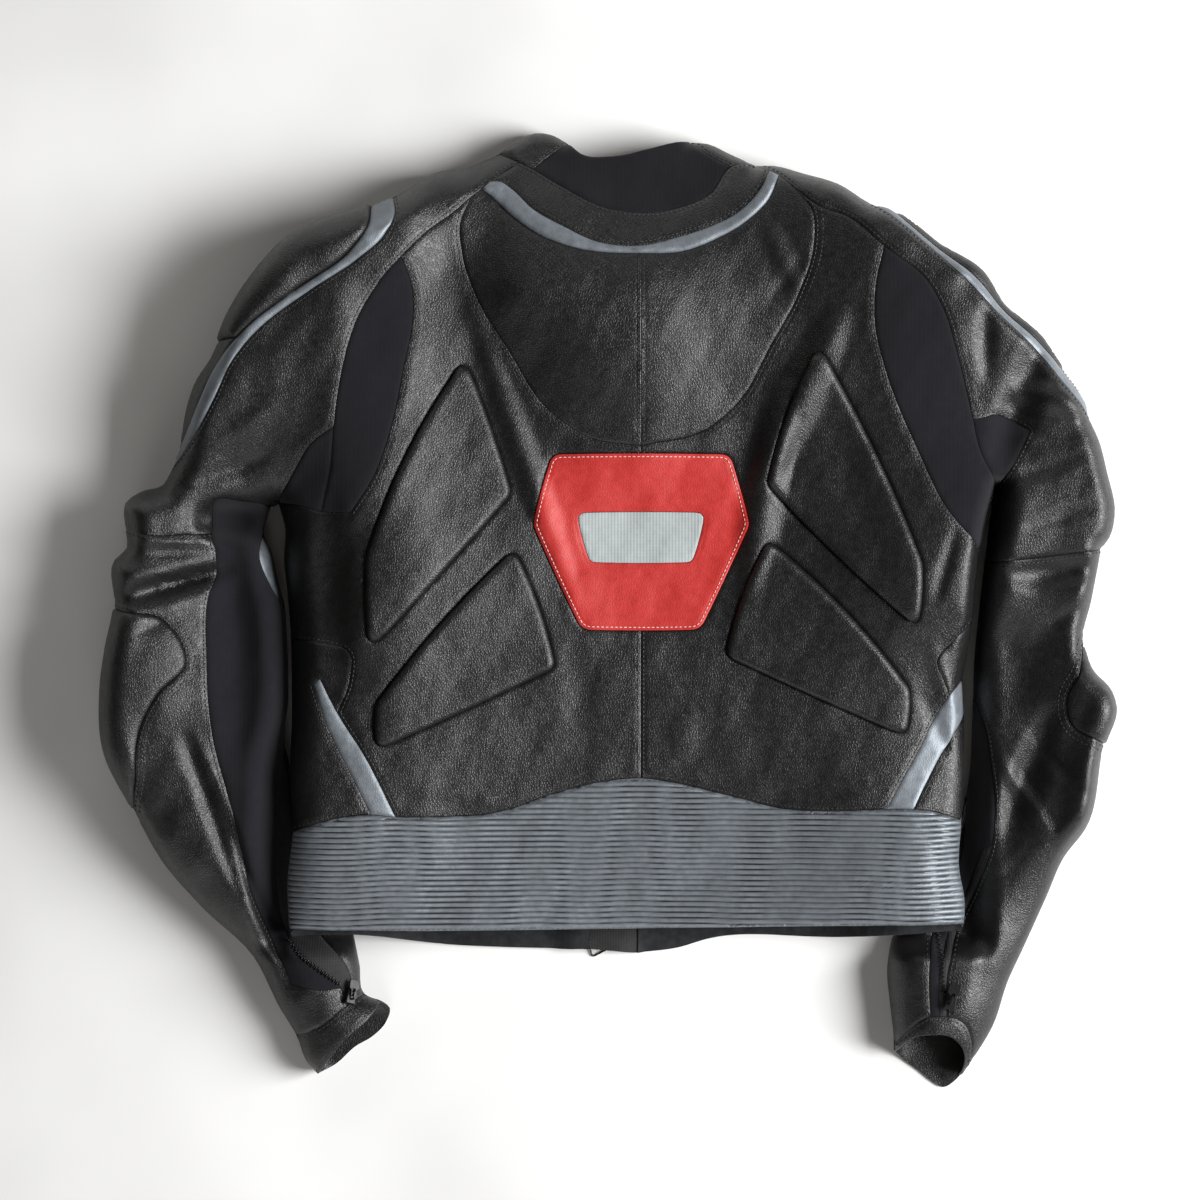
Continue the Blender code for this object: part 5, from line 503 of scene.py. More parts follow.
# Topstitching: the seam, the panels that it is sewn on, and how far from the seam the rows lie
TOPSTITCH = [
    ("yoke_centre", "yoke_left yoke_right", (2.0,)),
    ("back_centre", "back_left back_right", (2.0,)),
    ("yoke_l", "back_left", (2.2, 6.4)),
    ("yoke_r", "back_right", (2.2, 6.4)),
    ("raglan_l", "sleeve_head_left", (2.2,)),
    ("raglan_r", "sleeve_head_right", (2.2,)),
    ("leaf_l", "back_left", (2.2,)),
    ("leaf_r", "back_right", (2.2,)),
    ("stripe_in_l", "back_left", (2.2,)),
    ("stripe_in_r", "back_right", (2.2,)),
    ("stripe_out_l", "side_left", (2.2,)),
    ("stripe_out_r", "side_right", (2.2,)),
    ("flank_l", "back_left", (2.2,)),
    ("flank_r", "back_right", (2.2,)),
    ("waist_top", "back_left back_right side_left side_right", (2.2,)),
    ("hem", "waistband", (2.4,)),
    ("stand_top", "collar_stand", (2.2,)),
    ("stand_foot", "collar_stand", (2.2,)),
    ("tab_l", "collar_tab_left", (2.2,)),
    ("tab_r", "collar_tab_right", (2.2,)),
    ("strip_in_l", "sleeve_head_left", (2.2,)),
    ("strip_r", "sleeve_head_right", (2.2,)),
    ("head_foot_l", "forearm_left", (2.2,)),
    ("head_foot_r", "forearm_right", (2.2,)),
    ("elbow_l", "forearm_left", (2.2, 6.0)),
    ("elbow_r", "forearm_right", (2.2, 6.0)),
    ("stretch_out_l", "forearm_left", (2.2,)),
    ("stretch_out_r", "forearm_right", (2.2,)),
    ("zip_l", "forearm_left", (2.2,)),
    ("inner_r", "sleeve_inner_right", (2.2,)),
    ("cuff_seam_l", "cuff_left", (2.2,)),
    ("cuff_seam_r", "cuff_right", (2.2,)),
    ("cuff_edge_l", "cuff_left", (2.6,)),
    ("cuff_edge_r", "cuff_right", (2.6,)),
    ("gusset_l", "sleeve_head_left", (2.2,)),
    ("gusset_r", "sleeve_head_right", (2.2,)),
    ("gusset_top_r", "sleeve_head_right", (2.2,)),
]
STITCH_PITCH = 3.4
STITCH_LENGTH = 2.5
STITCH_WIDTH = 0.75
STITCH_GROOVE = 0.45  # depth of the groove that a row of stitches pulls into the leather
GROOVE_WIDTH = 0.9


def place(row):
    return np.array(CORNERS[row] if isinstance(row, str) else row, dtype=float)


def spline(rows, at):
    """Points of the smooth curve through rows at the parameters at, whole numbers being the rows."""
    chord = np.diff(rows, axis=0)
    length = np.hypot(*chord.T)[:, None]
    slope = chord / length
    lead = np.vstack([slope[:1], (slope[:-1] * length[1:] + slope[1:] * length[:-1])
                      / (length[1:] + length[:-1]), slope[-1:]])
    cell = np.clip(np.floor(at).astype(int), 0, len(rows) - 2)
    t, size = (at - cell)[:, None], length[cell]
    return (rows[cell] * (2 * t**3 - 3 * t**2 + 1) + rows[cell + 1] * (3 * t**2 - 2 * t**3)
            + lead[cell] * size * (t**3 - 2 * t**2 + t) + lead[cell + 1] * size * (t**3 - t**2))


def distance_to(points, starts, ends):
    """Distance of each point from the nearest of the stretches between starts and ends."""
    along = ends - starts
    length = np.maximum((along**2).sum(1), 1e-9)
    result = np.empty(len(points))
    for low in range(0, len(points), 4000):
        from_start = points[low:low + 4000, None, :] - starts[None, :, :]
        t = np.clip((from_start * along).sum(2) / length, 0, 1)
        away = from_start - t[:, :, None] * along
        result[low:low + 4000] = np.sqrt((away**2).sum(2).min(1))
    return result


def distance(points, line):
    return distance_to(points, line[:-1], line[1:])


class Network:
    """The seams as lines of points, with the corners at known places on them."""

    def __init__(self, step):
        self.step = step
        self.lines, self.marks = {}, {}
        for name in [n for n in SEAMS if n in OUTLINES] + [n for n in SEAMS if n not in OUTLINES]:
            self.add(name)

    def add(self, name):
        rows = np.array([place(row) for row in SEAMS[name]])
        points, marks = [rows[0]], {SEAMS[name][0]: 0}
        for i in range(len(rows) - 1):
            fine = spline(rows, np.linspace(i, i + 1, 81))
            gaps = np.hypot(*np.diff(fine, axis=0).T)
            step = np.full(len(gaps), self.step)
            if name not in OUTLINES:
                middle = (fine[:-1] + fine[1:]) / 2
                near = np.full(len(middle), 1e9)
                for edge in OUTLINES & set(self.lines):
                    near = np.minimum(near, distance(middle, self.lines[edge]))
                step = np.clip(0.5 + 0.4 * near, 0.5, self.step)
            count = np.concatenate([[0], np.cumsum(gaps / step)])
            pieces = max(1, math.ceil(count[-1] - 0.2))
            at = np.interp(np.linspace(0, count[-1], pieces + 1)[1:], count, np.linspace(i, i + 1, 81))
            points.extend(spline(rows, np.append(at[:-1], i + 1.0)))
            if isinstance(SEAMS[name][i + 1], str):
                marks[SEAMS[name][i + 1]] = len(points) - 1
        self.lines[name] = np.array(points)
        self.marks[name] = marks

    def run(self, seam, start, end):
        """Points of a seam from one corner to another, in that order."""
        a, b = self.marks[seam][start], self.marks[seam][end]
        line = self.lines[seam]
        return line[a:b + 1] if a < b else line[b:a + 1][::-1]


def ease(value, low, high):
    t = np.clip((value - low) / (high - low), 0, 1)
    return t * t * (3 - 2 * t)


def round_over(share):
    """The quarter circle of a rolled edge: 0 at the edge, 1 past the roll."""
    t = np.clip(share, 0, 1)
    return np.sqrt(1 - (1 - t) ** 2)


def ripples(points, seed, shortest, longest, count=18):
    """An uneven wave over the points, from about -1 to 1, made of waves of several lengths."""
    rng = np.random.default_rng(seed)
    total = np.zeros(len(points))
    for _ in range(count):
        length = shortest * (longest / shortest) ** rng.random()
        angle, phase = rng.random(2) * math.tau
        direction = np.array((math.cos(angle), math.sin(angle))) * math.tau / length
        total += np.sin(points @ direction + phase)
    return total / math.sqrt(count)


class Form:
    """Heights of the jacket over the surface, in mm."""

    def __init__(self, network):
        self.lines = {name: network.lines[name] for name in ROLL}
        self.posts = np.array(CROWNS, dtype=float)
        flat = np.column_stack([np.ones(len(self.posts)), self.posts[:, :2]])
        spring = self.spring(self.posts[:, :2], self.posts) + np.eye(len(self.posts)) * CROWN_SLACK
        whole = np.block([[spring, flat], [flat.T, np.zeros((3, 3))]])
        self.bent = np.linalg.solve(whole, np.concatenate([self.posts[:, 2], np.zeros(3)]))

    def crown(self, points):
        """A thin, springy sheet bent over the heights in CROWNS."""
        flat = np.column_stack([np.ones(len(points)), points])
        return self.spring(points, self.posts) @ self.bent[:-3] + flat @ self.bent[-3:]

    def spring(self, points, posts):
        r2 = ((points[:, None, :] - posts[None, :, :2]) ** 2).sum(2) / CROWN_REACH**2
        return 0.5 * r2 * np.log(r2 + 1e-9)

    def under_body(self, points, tube):
        """How much of a sleeve's height the body presses down, from 0 to 1."""
        x, y = points.T
        inside = x + 292 if tube == "left" else 268 - x
        return ease(inside, 0, 28) * ease(y, -24, -4) * (1 - ease(y, 105, 160))

    def lift(self, points):
        """Height of the sleeves that the body's lower corners lie on."""
        x, y = points.T
        total = np.zeros(len(points))
        for name, side in (("sleeve_side_l", -1), ("sleeve_side_r", 1)):
            line = self.lines[name][::-1]
            edge = np.interp(y, line[:, 1], line[:, 0])
            into = np.where((x - edge) * side > 0, 1, -1) * distance(points, self.lines[name])
            total = np.maximum(total, ease(into, -64, 10))
        return BODY_LIFT * total * (1 - ease(y, 108, 170))

    def levels(self, points, tube):
        """Turning height and crown at each point, and the lowest height."""
        low = self.lift(points) if tube == "body" else np.zeros(len(points))
        top = self.crown(points)
        if tube != "body":
            pressed = self.under_body(points, tube)
            top = top + (np.minimum(top, SLEEVE_UNDER_BODY) - top) * pressed
        return low, low + TURN_SHARE * (top - low), top

    def shares(self, points, tube):
        total = np.ones(len(points))
        for side in TUBES[tube]:
            share = np.full(len(points), 1.0)
            for name in side:
                tight = 1 - ROLL_TIGHTER.get(name, ROLL_TIGHT) * ease(points[:, 1], *ROLL_TIGHT_FROM)
                share = np.minimum(share, distance(points, self.lines[name]) / (ROLL[name] * tight))
            total *= round_over(share)
        return total

    def folds(self, points, tube, rows):
        total = np.zeros(len(points))
        for kind, x0, y0, x1, y1, half, depth in rows:
            if kind not in (tube, "all"):
                continue
            start, along = np.array((x0, y0), float), np.array((x1 - x0, y1 - y0), float)
            t = ((points - start) @ along) / (along @ along)
            near = np.hypot(*(points - start - np.clip(t, 0, 1)[:, None] * along).T)
            swell = np.sin(np.clip(t, 0, 1) * math.pi)
            across = np.clip(near / (half * (0.55 + 0.45 * swell)), 0, 1)
            total += depth * np.cos(across * math.pi / 2) ** 2 * swell**0.8
        return total

    def creases(self, points, tube):
        """Depth of the smaller creases and the unevenness of the cloth between them."""
        total = self.folds(points, tube, CREASES)
        slack = 0.45 if tube == "body" else 0.8
        return total + slack * ripples(points, 5, 22, 90) + 0.12 * ripples(points, 9, 7, 16)

    def upper(self, points, tube):
        _, turn, top = self.levels(points, tube)
        share = self.shares(points, tube)
        depth = self.folds(points, tube, FOLDS) + self.creases(points, tube)
        return turn + (top - depth * share - turn) * share

    def under(self, points, tube):
        low, turn, _ = self.levels(points, tube)
        near = np.full(len(points), 1e9)
        for name in {n for side in TUBES[tube] for n in side}:
            near = np.minimum(near, distance(points, self.lines[name]))
        height, x, y, reach = TAPE_LIFT
        rise = 0.0
        if tube == "body":
            rise = height * (1 - ease(np.hypot(points[:, 0] - x, points[:, 1] - y), reach * 0.45, reach))
        return rise + low + (turn - low) * (1 - round_over(near / UNDER_ROLL))

    def facing(self, points, tube, sheet):
        """Unit direction out of the wall at each point."""
        rule = self.upper if sheet == "upper" else self.under
        h = 0.15
        dx = (rule(points + (h, 0), tube) - rule(points - (h, 0), tube)) / (2 * h)
        dy = (rule(points + (0, h), tube) - rule(points - (0, h), tube)) / (2 * h)
        out = np.stack([-dx, -dy, np.ones(len(points))], 1)
        if sheet == "under":
            out = -out
        return out / np.linalg.norm(out, axis=1)[:, None]


def outward(network):
    """For each tube, the level direction out of the jacket at each point of its outlines."""
    found = {"body": {}, "left": {}, "right": {}}
    for tube, end, side in (("left", "_l", 1), ("right", "_r", -1)):
        parts = [network.lines[name + end] for name in ("tab_edge", "shoulder_edge", "forearm_edge")]
        if tube == "left":
            parts[0] = parts[0][::-1]
        line = np.vstack([parts[0]] + [part[1:] for part in parts[1:]])
        found[tube].update(directions(line, side))
        found["body"].update(found[tube])
        found[tube].update(directions(network.lines["sleeve_side" + end], -side))
        found["body"].update(directions(network.lines["body_side" + end], side))
    return found


def directions(line, side):
    tangent = np.gradient(line, axis=0)
    normal = np.stack([tangent[:, 1], -tangent[:, 0]], 1) * side
    normal /= np.linalg.norm(normal, axis=1)[:, None]
    return {key(point): value for point, value in zip(line, normal)}


def key(point):
    return (round(float(point[0]), 3), round(float(point[1]), 3))


def rounded(rows, step):
    """A closed outline from corners with a radius, and sides with a bulge."""
    corner = np.array([row[:2] for row in rows], dtype=float)
    count, points = len(rows), []
    tangents = []
    for i, row in enumerate(rows):
        before, after = corner[i - 1] - corner[i], corner[(i + 1) % count] - corner[i]
        before, after = before / np.linalg.norm(before), after / np.linalg.norm(after)
        reach = row[2] / math.tan(math.acos(float(np.clip(before @ after, -1, 1))) / 2)
        tangents.append((corner[i] + before * reach, corner[i] + after * reach))
    for i, row in enumerate(rows):
        start, end = tangents[i]
        for t in np.linspace(0, 1, max(4, round(row[2] / 1.5))):
            points.append(start * (1 - t) ** 2 + corner[i] * 2 * t * (1 - t) + end * t * t)
        side = tangents[(i + 1) % count][0] - end
        length = np.linalg.norm(side)
        away = np.array((side[1], -side[0])) / length
        if away @ (end - corner.mean(0)) < 0:
            away = -away
        pieces = max(1, round(length / step))
        for t in np.arange(1, pieces) / pieces:
            points.append(end + side * t + away * row[3] * 4 * t * (1 - t))
    line = np.array(points)
    return line if area(line) > 0 else line[::-1]


def area(ring):
    x, y = ring.T
    return 0.5 * float(np.sum(x * np.roll(y, -1) - np.roll(x, -1) * y))


def inset(ring, amounts):
    """The ring with each side moved in by its amount."""
    before, after = ring - np.roll(ring, 1, 0), np.roll(ring, -1, 0) - ring
    u = before / np.linalg.norm(before, axis=1)[:, None]
    v = after / np.linalg.norm(after, axis=1)[:, None]
    a, b = np.roll(amounts, 1)[:, None], np.asarray(amounts)[:, None]
    cross = (u[:, 0] * v[:, 1] - u[:, 1] * v[:, 0])[:, None]
    straight = np.stack([-u[:, 1] - v[:, 1], u[:, 0] + v[:, 0]], 1) / 2 * np.maximum(a, b)
    shift = (v * a - u * b) / np.where(abs(cross) < 0.2, 1, cross)
    size = np.linalg.norm(shift, axis=1)[:, None]
    shift = shift * np.minimum(1, 1.2 / np.maximum(size, 1e-6))
    return ring + np.where(abs(cross) < 0.2, straight, shift)


def into(ring):
    """The direction into a ring at each of its points."""
    before, after = ring - np.roll(ring, 1, 0), np.roll(ring, -1, 0) - ring
    u = before / np.linalg.norm(before, axis=1)[:, None]
    v = after / np.linalg.norm(after, axis=1)[:, None]
    middle = np.stack([-u[:, 1] - v[:, 1], u[:, 0] + v[:, 0]], 1)
    return middle / np.maximum(np.linalg.norm(middle, axis=1), 1e-6)[:, None]


def inside(points, ring):
    x, y = points.T
    crossed = np.zeros(len(points), bool)
    for (x0, y0), (x1, y1) in zip(ring, np.roll(ring, -1, 0)):
        if y0 == y1:
            continue
        hit = ((y0 > y) != (y1 > y)) & (x < (x1 - x0) * (y - y0) / (y1 - y0) + x0)
        crossed ^= hit
    return crossed


def closed(ring):
    return np.vstack([ring, ring[:1]])


def border(network, chain):
    """The panel's ring, for each side whether it lies on a rolled outline, and its runs of seams."""
    words = chain.split()
    ring, rolled, runs = [], [], []
    for i in range(0, len(words), 2):
        start, seam, end = words[i], words[i + 1], words[(i + 2) % len(words)]
        line = network.run(seam, start, end)
        runs.append((seam, line))
        ring.extend(line[:-1])
        rolled.extend([seam in OUTLINES] * (len(line) - 1))
    ring, rolled = np.array(ring), np.array(rolled)
    if area(ring) < 0:
        ring = ring[::-1]
        rolled = np.roll(rolled[::-1], -1)
    return ring, rolled, runs


def spread_points(rings, rolled, step, rows, edge_rows):
    """Points inside a panel: rows along its borders, then an even staggered grid."""
    walls = [closed(ring) for ring in rings]
    starts = np.vstack([wall[:-1] for wall in walls])
    ends = np.vstack([wall[1:] for wall in walls])
    found = []
    for k, ring in enumerate(rings):
        on_edge = rolled | np.roll(rolled, 1) if k == 0 else np.zeros(len(ring), bool)
        direction = into(ring)
        for depths, chosen in ((rows, ~on_edge), (edge_rows, on_edge)):
            for depth in depths:
                row = (ring + direction * depth)[chosen]
                if len(row):
                    found.append(row[distance_to(row, starts, ends) > depth * 0.93])
    (x0, y0), (x1, y1) = rings[0].min(0), rings[0].max(0)
    levels = np.arange(math.floor(y0 / step), math.ceil(y1 / step) + 1)
    columns = np.arange(math.floor(x0 / step) - 1, math.ceil(x1 / step) + 1)
    grid = np.stack(np.meshgrid(columns, levels), 2).reshape(-1, 2).astype(float)
    grid[:, 0] += (grid[:, 1] % 2) / 2
    grid *= step
    grid = grid[inside(grid, rings[0])]
    if len(grid):
        found.append(grid[distance_to(grid, starts, ends) > max(rows) + step * 0.4])
    points = np.vstack(found) if found else np.zeros((0, 2))
    return thin(points, rings, 0.55)


def thin(points, rings, room):
    """The points that are in the first ring and in none of the others, one to each small cell."""
    keep = inside(points, rings[0])
    for hole in rings[1:]:
        keep &= ~inside(points, hole)
    points = points[keep]
    _, first = np.unique(np.round(points / room).astype(int), axis=0, return_index=True)
    return points[np.sort(first)]


def triangles(rings, extra):
    """Triangles between rings, the first outside and the rest its holes, through the extra points."""
    points = [Vector(p) for ring in rings for p in ring] + [Vector(p) for p in extra]
    edges, base = [], 0
    for ring in rings:
        edges += [(base + i, base + (i + 1) % len(ring)) for i in range(len(ring))]
        base += len(ring)
    made = delaunay_2d_cdt(points, edges, [], 0, 1e-6)
    source = np.array([ids[0] if ids else -1 for ids in made[3]])
    faces = source[np.array([list(face) for face in made[2]])]
    faces = faces[(faces >= 0).all(1)]
    flat = np.array([p[:] for p in points])
    corner = flat[faces]
    keep = inside(corner.mean(1), rings[0])
    for hole in rings[1:]:
        keep &= ~inside(corner.mean(1), hole)
    u, v = corner[:, 1] - corner[:, 0], corner[:, 2] - corner[:, 0]
    turn = u[:, 0] * v[:, 1] - u[:, 1] * v[:, 0]
    keep &= abs(turn) > SLIVER
    faces = np.where(turn[:, None] > 0, faces, faces[:, ::-1])
    return faces[keep]


def close_wall(name, outer, outer_faces, inner, inner_faces, finish, flip=False):
    """One closed wall: an outer and an inner sheet with the same border points, and the rim between."""
    sides = set()
    for face in outer_faces.tolist():
        sides.update(zip(face, face[1:] + face[:1]))
    rim = [(a, b) for a, b in sides if (b, a) not in sides]
    rim.sort()
    shift = len(outer)
    faces = outer_faces.tolist() + (inner_faces[:, ::-1] + shift).tolist()
    faces += [[b, a, shift + a, shift + b] for a, b in rim]
    if flip:
        faces = [face[::-1] for face in faces]
    return cloth(name, np.vstack([outer, inner]), faces, finish)


def cloth(name, points, faces, finish):
    mesh = bpy.data.meshes.new(name)
    mesh.from_pydata(((points + ORIGIN) * MM).tolist(), [], faces)
    mesh.validate()
    mesh.materials.append(FINISHES[finish])
    mesh.shade_smooth()
    mesh.set_sharp_from_angle(angle=math.radians(SHARP_ANGLE))
    piece = bpy.data.objects.new(name, mesh)
    bpy.context.scene.collection.objects.link(piece)
    return piece


class Tailor:
    """Makes the panels' shells from the seams and the form."""

    def __init__(self):
        self.network = Network(FINE_STEP)
        self.form = Form(Network(FORM_STEP))
        self.out = outward(self.network)
        self.crotches = {key(point) for point in self.network.lines["armpit_l"]}
        self.crotches |= {key(place(name)) for name in ("armpit_r", "tab_out_l", "raglan_top_r")}
        self.inlays = {name: rounded(rows, FINE_STEP) for name, rows in PADS.items()}
        self.plate = rounded(PLATE, FINE_STEP)
        self.bar = rounded(PLATE_BAR, FINE_STEP)
        self.rows = {"body": [], "left": [], "right": []}  # rows of topstitching on each tube

    def on_form(self, flat, tube, sheet, raised, wall, rolled_at):
        """Outer and inner points of a wall over the flat points."""
        rule = self.form.upper if sheet == "upper" else self.form.under
        z = rule(flat, tube)
        face = self.form.facing(flat, tube, sheet)
        turn = self.form.levels(flat, tube)[1]
        for i, direction in rolled_at.items():
            z[i] = turn[i] + (SEAM_GAP / 2 if sheet == "upper" else -SEAM_GAP / 2)
            face[i] = (direction[0], direction[1], 0)
        plain = np.column_stack([flat, z])
        return plain + face * raised[:, None], plain - face * wall

    def wall(self, name, ring, rolled, holes, tube, sheet, finish, rule=None, extra=None, thick=None):
        rim = inset(ring, np.where(rolled, 0.0, SEAM_GAP / 2))
        rolled_at, inward = {}, into(ring)
        for i, point in enumerate(ring):
            if key(point) in self.crotches:
                rolled_at[i] = -inward[i]
            elif rolled[i] or rolled[i - 1]:
                rolled_at[i] = self.out[tube][key(point)]
        rings = [rim] + [inset(hole[::-1], np.full(len(hole), SEAM_GAP / 2)) for hole in holes]
        step, rows = (FINE_STEP, BORDER_ROWS) if sheet == "upper" else (UNDER_STEP, INNER_ROWS)
        fine = spread_points(rings, rolled, step, rows, EDGE_ROWS)
        if extra is not None:
            near = distance_to(extra, closed(rim)[:-1], closed(rim)[1:])
            fine = thin(extra[near > 0.3], rings, 0.05)
        coarse = spread_points(rings, rolled, max(step, INNER_STEP), INNER_ROWS, INNER_ROWS)
        flat_fine = np.vstack(rings + [fine])
        flat = np.vstack(rings + [coarse])
        raised = np.zeros(len(flat_fine)) if rule is None else rule(flat_fine)
        thick = thick or WALLS[finish]
        outer, _ = self.on_form(flat_fine, tube, sheet, raised, thick, rolled_at)
        _, inner = self.on_form(flat, tube, sheet, np.zeros(len(flat)), thick, rolled_at)
        piece = close_wall(name, outer, triangles(rings, fine), inner, triangles(rings, coarse), finish,
                           flip=sheet == "under")
        return dress(piece, name, outer[:, :2])

    def panel(self, name):
        sheet, tube, finish, chain = PANELS[name]
        ring, rolled, runs = border(self.network, chain)
        holes, extra, thick = [], None, None
        if name in ("back_left", "back_right"):
            holes = [outline for pad, outline in self.inlays.items() if pad.endswith(name[5:])]
            ring, rolled = self.without_plate(ring, rolled)
        sewn = self.sewn_rows(name, tube, runs) if sheet == "upper" else []
        sides = closed(ring)
        sunk = ~rolled
        starts, ends = sides[:-1][sunk], sides[1:][sunk]
        if holes:
            starts = np.vstack([starts, *holes])
            ends = np.vstack([ends] + [np.roll(hole, -1, 0) for hole in holes])
        shape = SHAPES.get(name)

        def rule(points):
            near = distance_to(points, starts, ends)
            total = -SEAM_DIP * (1 - round_over(near / SEAM_ROLL))
            for line, offset in sewn:
                gap = abs(distance(points, line) - offset)
                total -= STITCH_GROOVE * np.exp(-(gap / GROOVE_WIDTH) ** 2) * (near > offset - 0.5)
            return total + (shape(points, closed(ring)) if shape else 0.0)

        if name == "waistband":
            extra, thick = self.rib_points(ring), BAND_WALL
        return self.wall(name, ring, rolled, holes, tube, sheet, finish, rule if sheet == "upper" else None,
                         extra, thick)

    def sewn_rows(self, name, tube, runs):
        """The panel's rows of topstitching: the seam that each follows and its distance from it."""
        found = []
        for seam, line in runs:
            for stitched, panels, offsets in TOPSTITCH:
                if stitched == seam and name in panels.split():
                    found += [(line, offset) for offset in offsets]
                    self.rows[tube] += [(name, line, offset) for offset in offsets]
        return found

    def without_plate(self, ring, rolled):
        """The ring of a back panel with the plate's half cut out of its centre seam."""
        left = ring[:, 0].mean() < 0
        centre = {i for i, p in enumerate(ring) if abs(p[0]) < 1e-6}
        top, foot = self.plate[:, 1].max(), self.plate[:, 1].min()
        half = [p for p in self.plate if (p[0] < -1e-6) == left and abs(p[0]) > 1e-6]
        half.sort(key=lambda p: math.atan2(p[1] - (top + foot) / 2, abs(p[0])))
        notch = [np.array((0.0, foot))] + half + [np.array((0.0, top))]
        above = {i for i in centre if ring[i][1] > top + 1}
        below = {i for i in centre if ring[i][1] < foot - 1}
        skip = centre - above - below
        result, marks = [], []
        for i in range(len(ring)):
            following = (i + 1) % len(ring)
            if i in skip:
                continue
            result.append(ring[i])
            marks.append(rolled[i])
            if following in skip:
                result.extend(notch[::-1] if i in above else notch)
                marks.extend([False] * len(notch))
        return np.array(result), np.array(marks)

    def rib_points(self, ring):
        """Points in close lines along the ribs, closer at the band's rolled ends."""
        (x0, y0), (x1, y1) = ring.min(0), ring.max(0)
        ends = np.array((0.5, 1.4, 3.0, 5.0, 7.5))
        columns = np.concatenate([ends, np.arange(11, x1 - x0 - 10, 4.2), x1 - x0 - ends])
        points = []
        for y in np.arange(y0, y1, RIB_PITCH / 6):
            line = self.network.lines["body_side_l"]
            order = np.argsort(line[:, 1])
            left = np.interp(y, line[order, 1], line[order, 0])
            line = self.network.lines["body_side_r"]
            order = np.argsort(line[:, 1])
            right = np.interp(y, line[order, 1], line[order, 0])
            share = columns / (x1 - x0)
            points.append(np.column_stack([left + share * (right - left), np.full(len(columns), y)]))
        return np.vstack(points)

    def inlay(self, name, ring, holes, rule, finish):
        rolled = np.zeros(len(ring), bool)
        return self.wall(name, ring, rolled, holes, "body", "upper", finish, rule)


def cushion(height, reach):
    def rule(points, ring):
        return height * round_over(distance(points, ring) / reach)
    return rule


def rib_wave(points):
    """Round ribs with sharp troughs, from 0 in a trough to 1 on a rib."""
    wobble = 0.5 * ripples(points * (1, 0.2), 3, 40, 160, 6)
    phase = (points[:, 1] + wobble) / RIB_PITCH % 1
    return np.sqrt(np.clip(1 - (2 * phase - 1) ** 2, 0, 1))


def ribs(points, ring):
    """The waistband's ribs, flat along its sewn borders."""
    return RIB_RAISE * rib_wave(points) * ease(distance(points, ring), 0.5, 3.0)


def mark_groove_shade(piece):
    """Stores how deep in a groove each point of the waistband lies, which its leather reads to paint shade
    into the troughs.
    """
    points = np.array([vertex.co[:2] for vertex in piece.data.vertices]) / MM - ORIGIN[:2]
    groove = piece.data.attributes.new("groove", "FLOAT", "POINT")
    groove.data.foreach_set("value", 1 - rib_wave(points))


# What raises a panel's outer points, besides its seams
SHAPES = {
    "waistband": ribs,
    "shoulder_cap_left": cushion(SHOULDER_CAP_RAISE, SHOULDER_CAP_ROUND),
    "shoulder_cap_right": cushion(SHOULDER_CAP_RAISE, SHOULDER_CAP_ROUND),
    "elbow_left": cushion(ELBOW_RAISE, ELBOW_ROUND),
    "elbow_right": cushion(ELBOW_RAISE, ELBOW_ROUND),
    "shoulder_strip_left": cushion(STRIP_RAISE, STRIP_ROUND),
    "shoulder_strip_right": cushion(STRIP_RAISE, STRIP_ROUND),
    "collar_roll": cushion(COLLAR_ROLL_RAISE, COLLAR_ROLL_ROUND),
}


def dress(piece, node, flat):
    """Attaches a finished shell to the jacket, hides the part that it replaces and works out its size laid
    flat; on the waistband it stores the groove depths for the painted shade.
    """
    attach(piece, BODY)
    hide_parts(node)
    surface = sum(polygon.area for polygon in piece.data.polygons) / 2
    centre = flat - flat.mean(0)
    turned = centre @ np.linalg.svd(centre, full_matrices=False)[2].T
    wide, long_ = sorted(np.ptp(turned, axis=0) * MM)
    wide = min(wide, surface / (LEAST_FILL * long_))
    if node == "waistband":
        mark_groove_shade(piece)
    return piece


def make_pads(tailor):
    for name, outline in tailor.inlays.items():
        ring = closed(outline)
        puff = cushion(PAD_RAISE, PAD_ROUND)

        def rule(points):
            groove = -SEAM_DIP * (1 - round_over(distance(points, ring) / PAD_GROOVE))
            return puff(points, ring) + groove
        tailor.inlay(name, outline, [], rule, "black_leather")


def make_plate(tailor):
    plate, bar = closed(tailor.plate), closed(tailor.bar)

    def plate_rule(points):
        near = np.minimum(distance(points, plate), distance(points, bar))
        stitched = STITCH_GROOVE * np.exp(-((near - PLATE_STITCH_IN) / GROOVE_WIDTH) ** 2)
        return PLATE_RAISE * round_over(near / PLATE_ROUND) - stitched

    def bar_rule(points):
        return PLATE_RAISE - BAR_SINK + BAR_RAISE * round_over(distance(points, bar) / PLATE_ROUND)
    tailor.inlay("back_plate", tailor.plate, [tailor.bar], plate_rule, "red_leather")
    tailor.inlay("plate_bar", tailor.bar, [], bar_rule, "grey_fabric")


def stitch_shape():
    """One stitch: a short thread, thick in the middle, as points and faces, along X."""
    bpy.ops.object.select_all(action="DESELECT")
    bpy.ops.mesh.primitive_uv_sphere_add(segments=6, ring_count=4, radius=0.5)
    ball = bpy.context.object
    points = np.array([vertex.co[:] for vertex in ball.data.vertices])
    faces = [list(polygon.vertices) for polygon in ball.data.polygons]
    bpy.data.objects.remove(ball, do_unlink=True)
    points = points[:, [2, 0, 1]]
    return points * (STITCH_LENGTH, STITCH_WIDTH, STITCH_WIDTH), faces


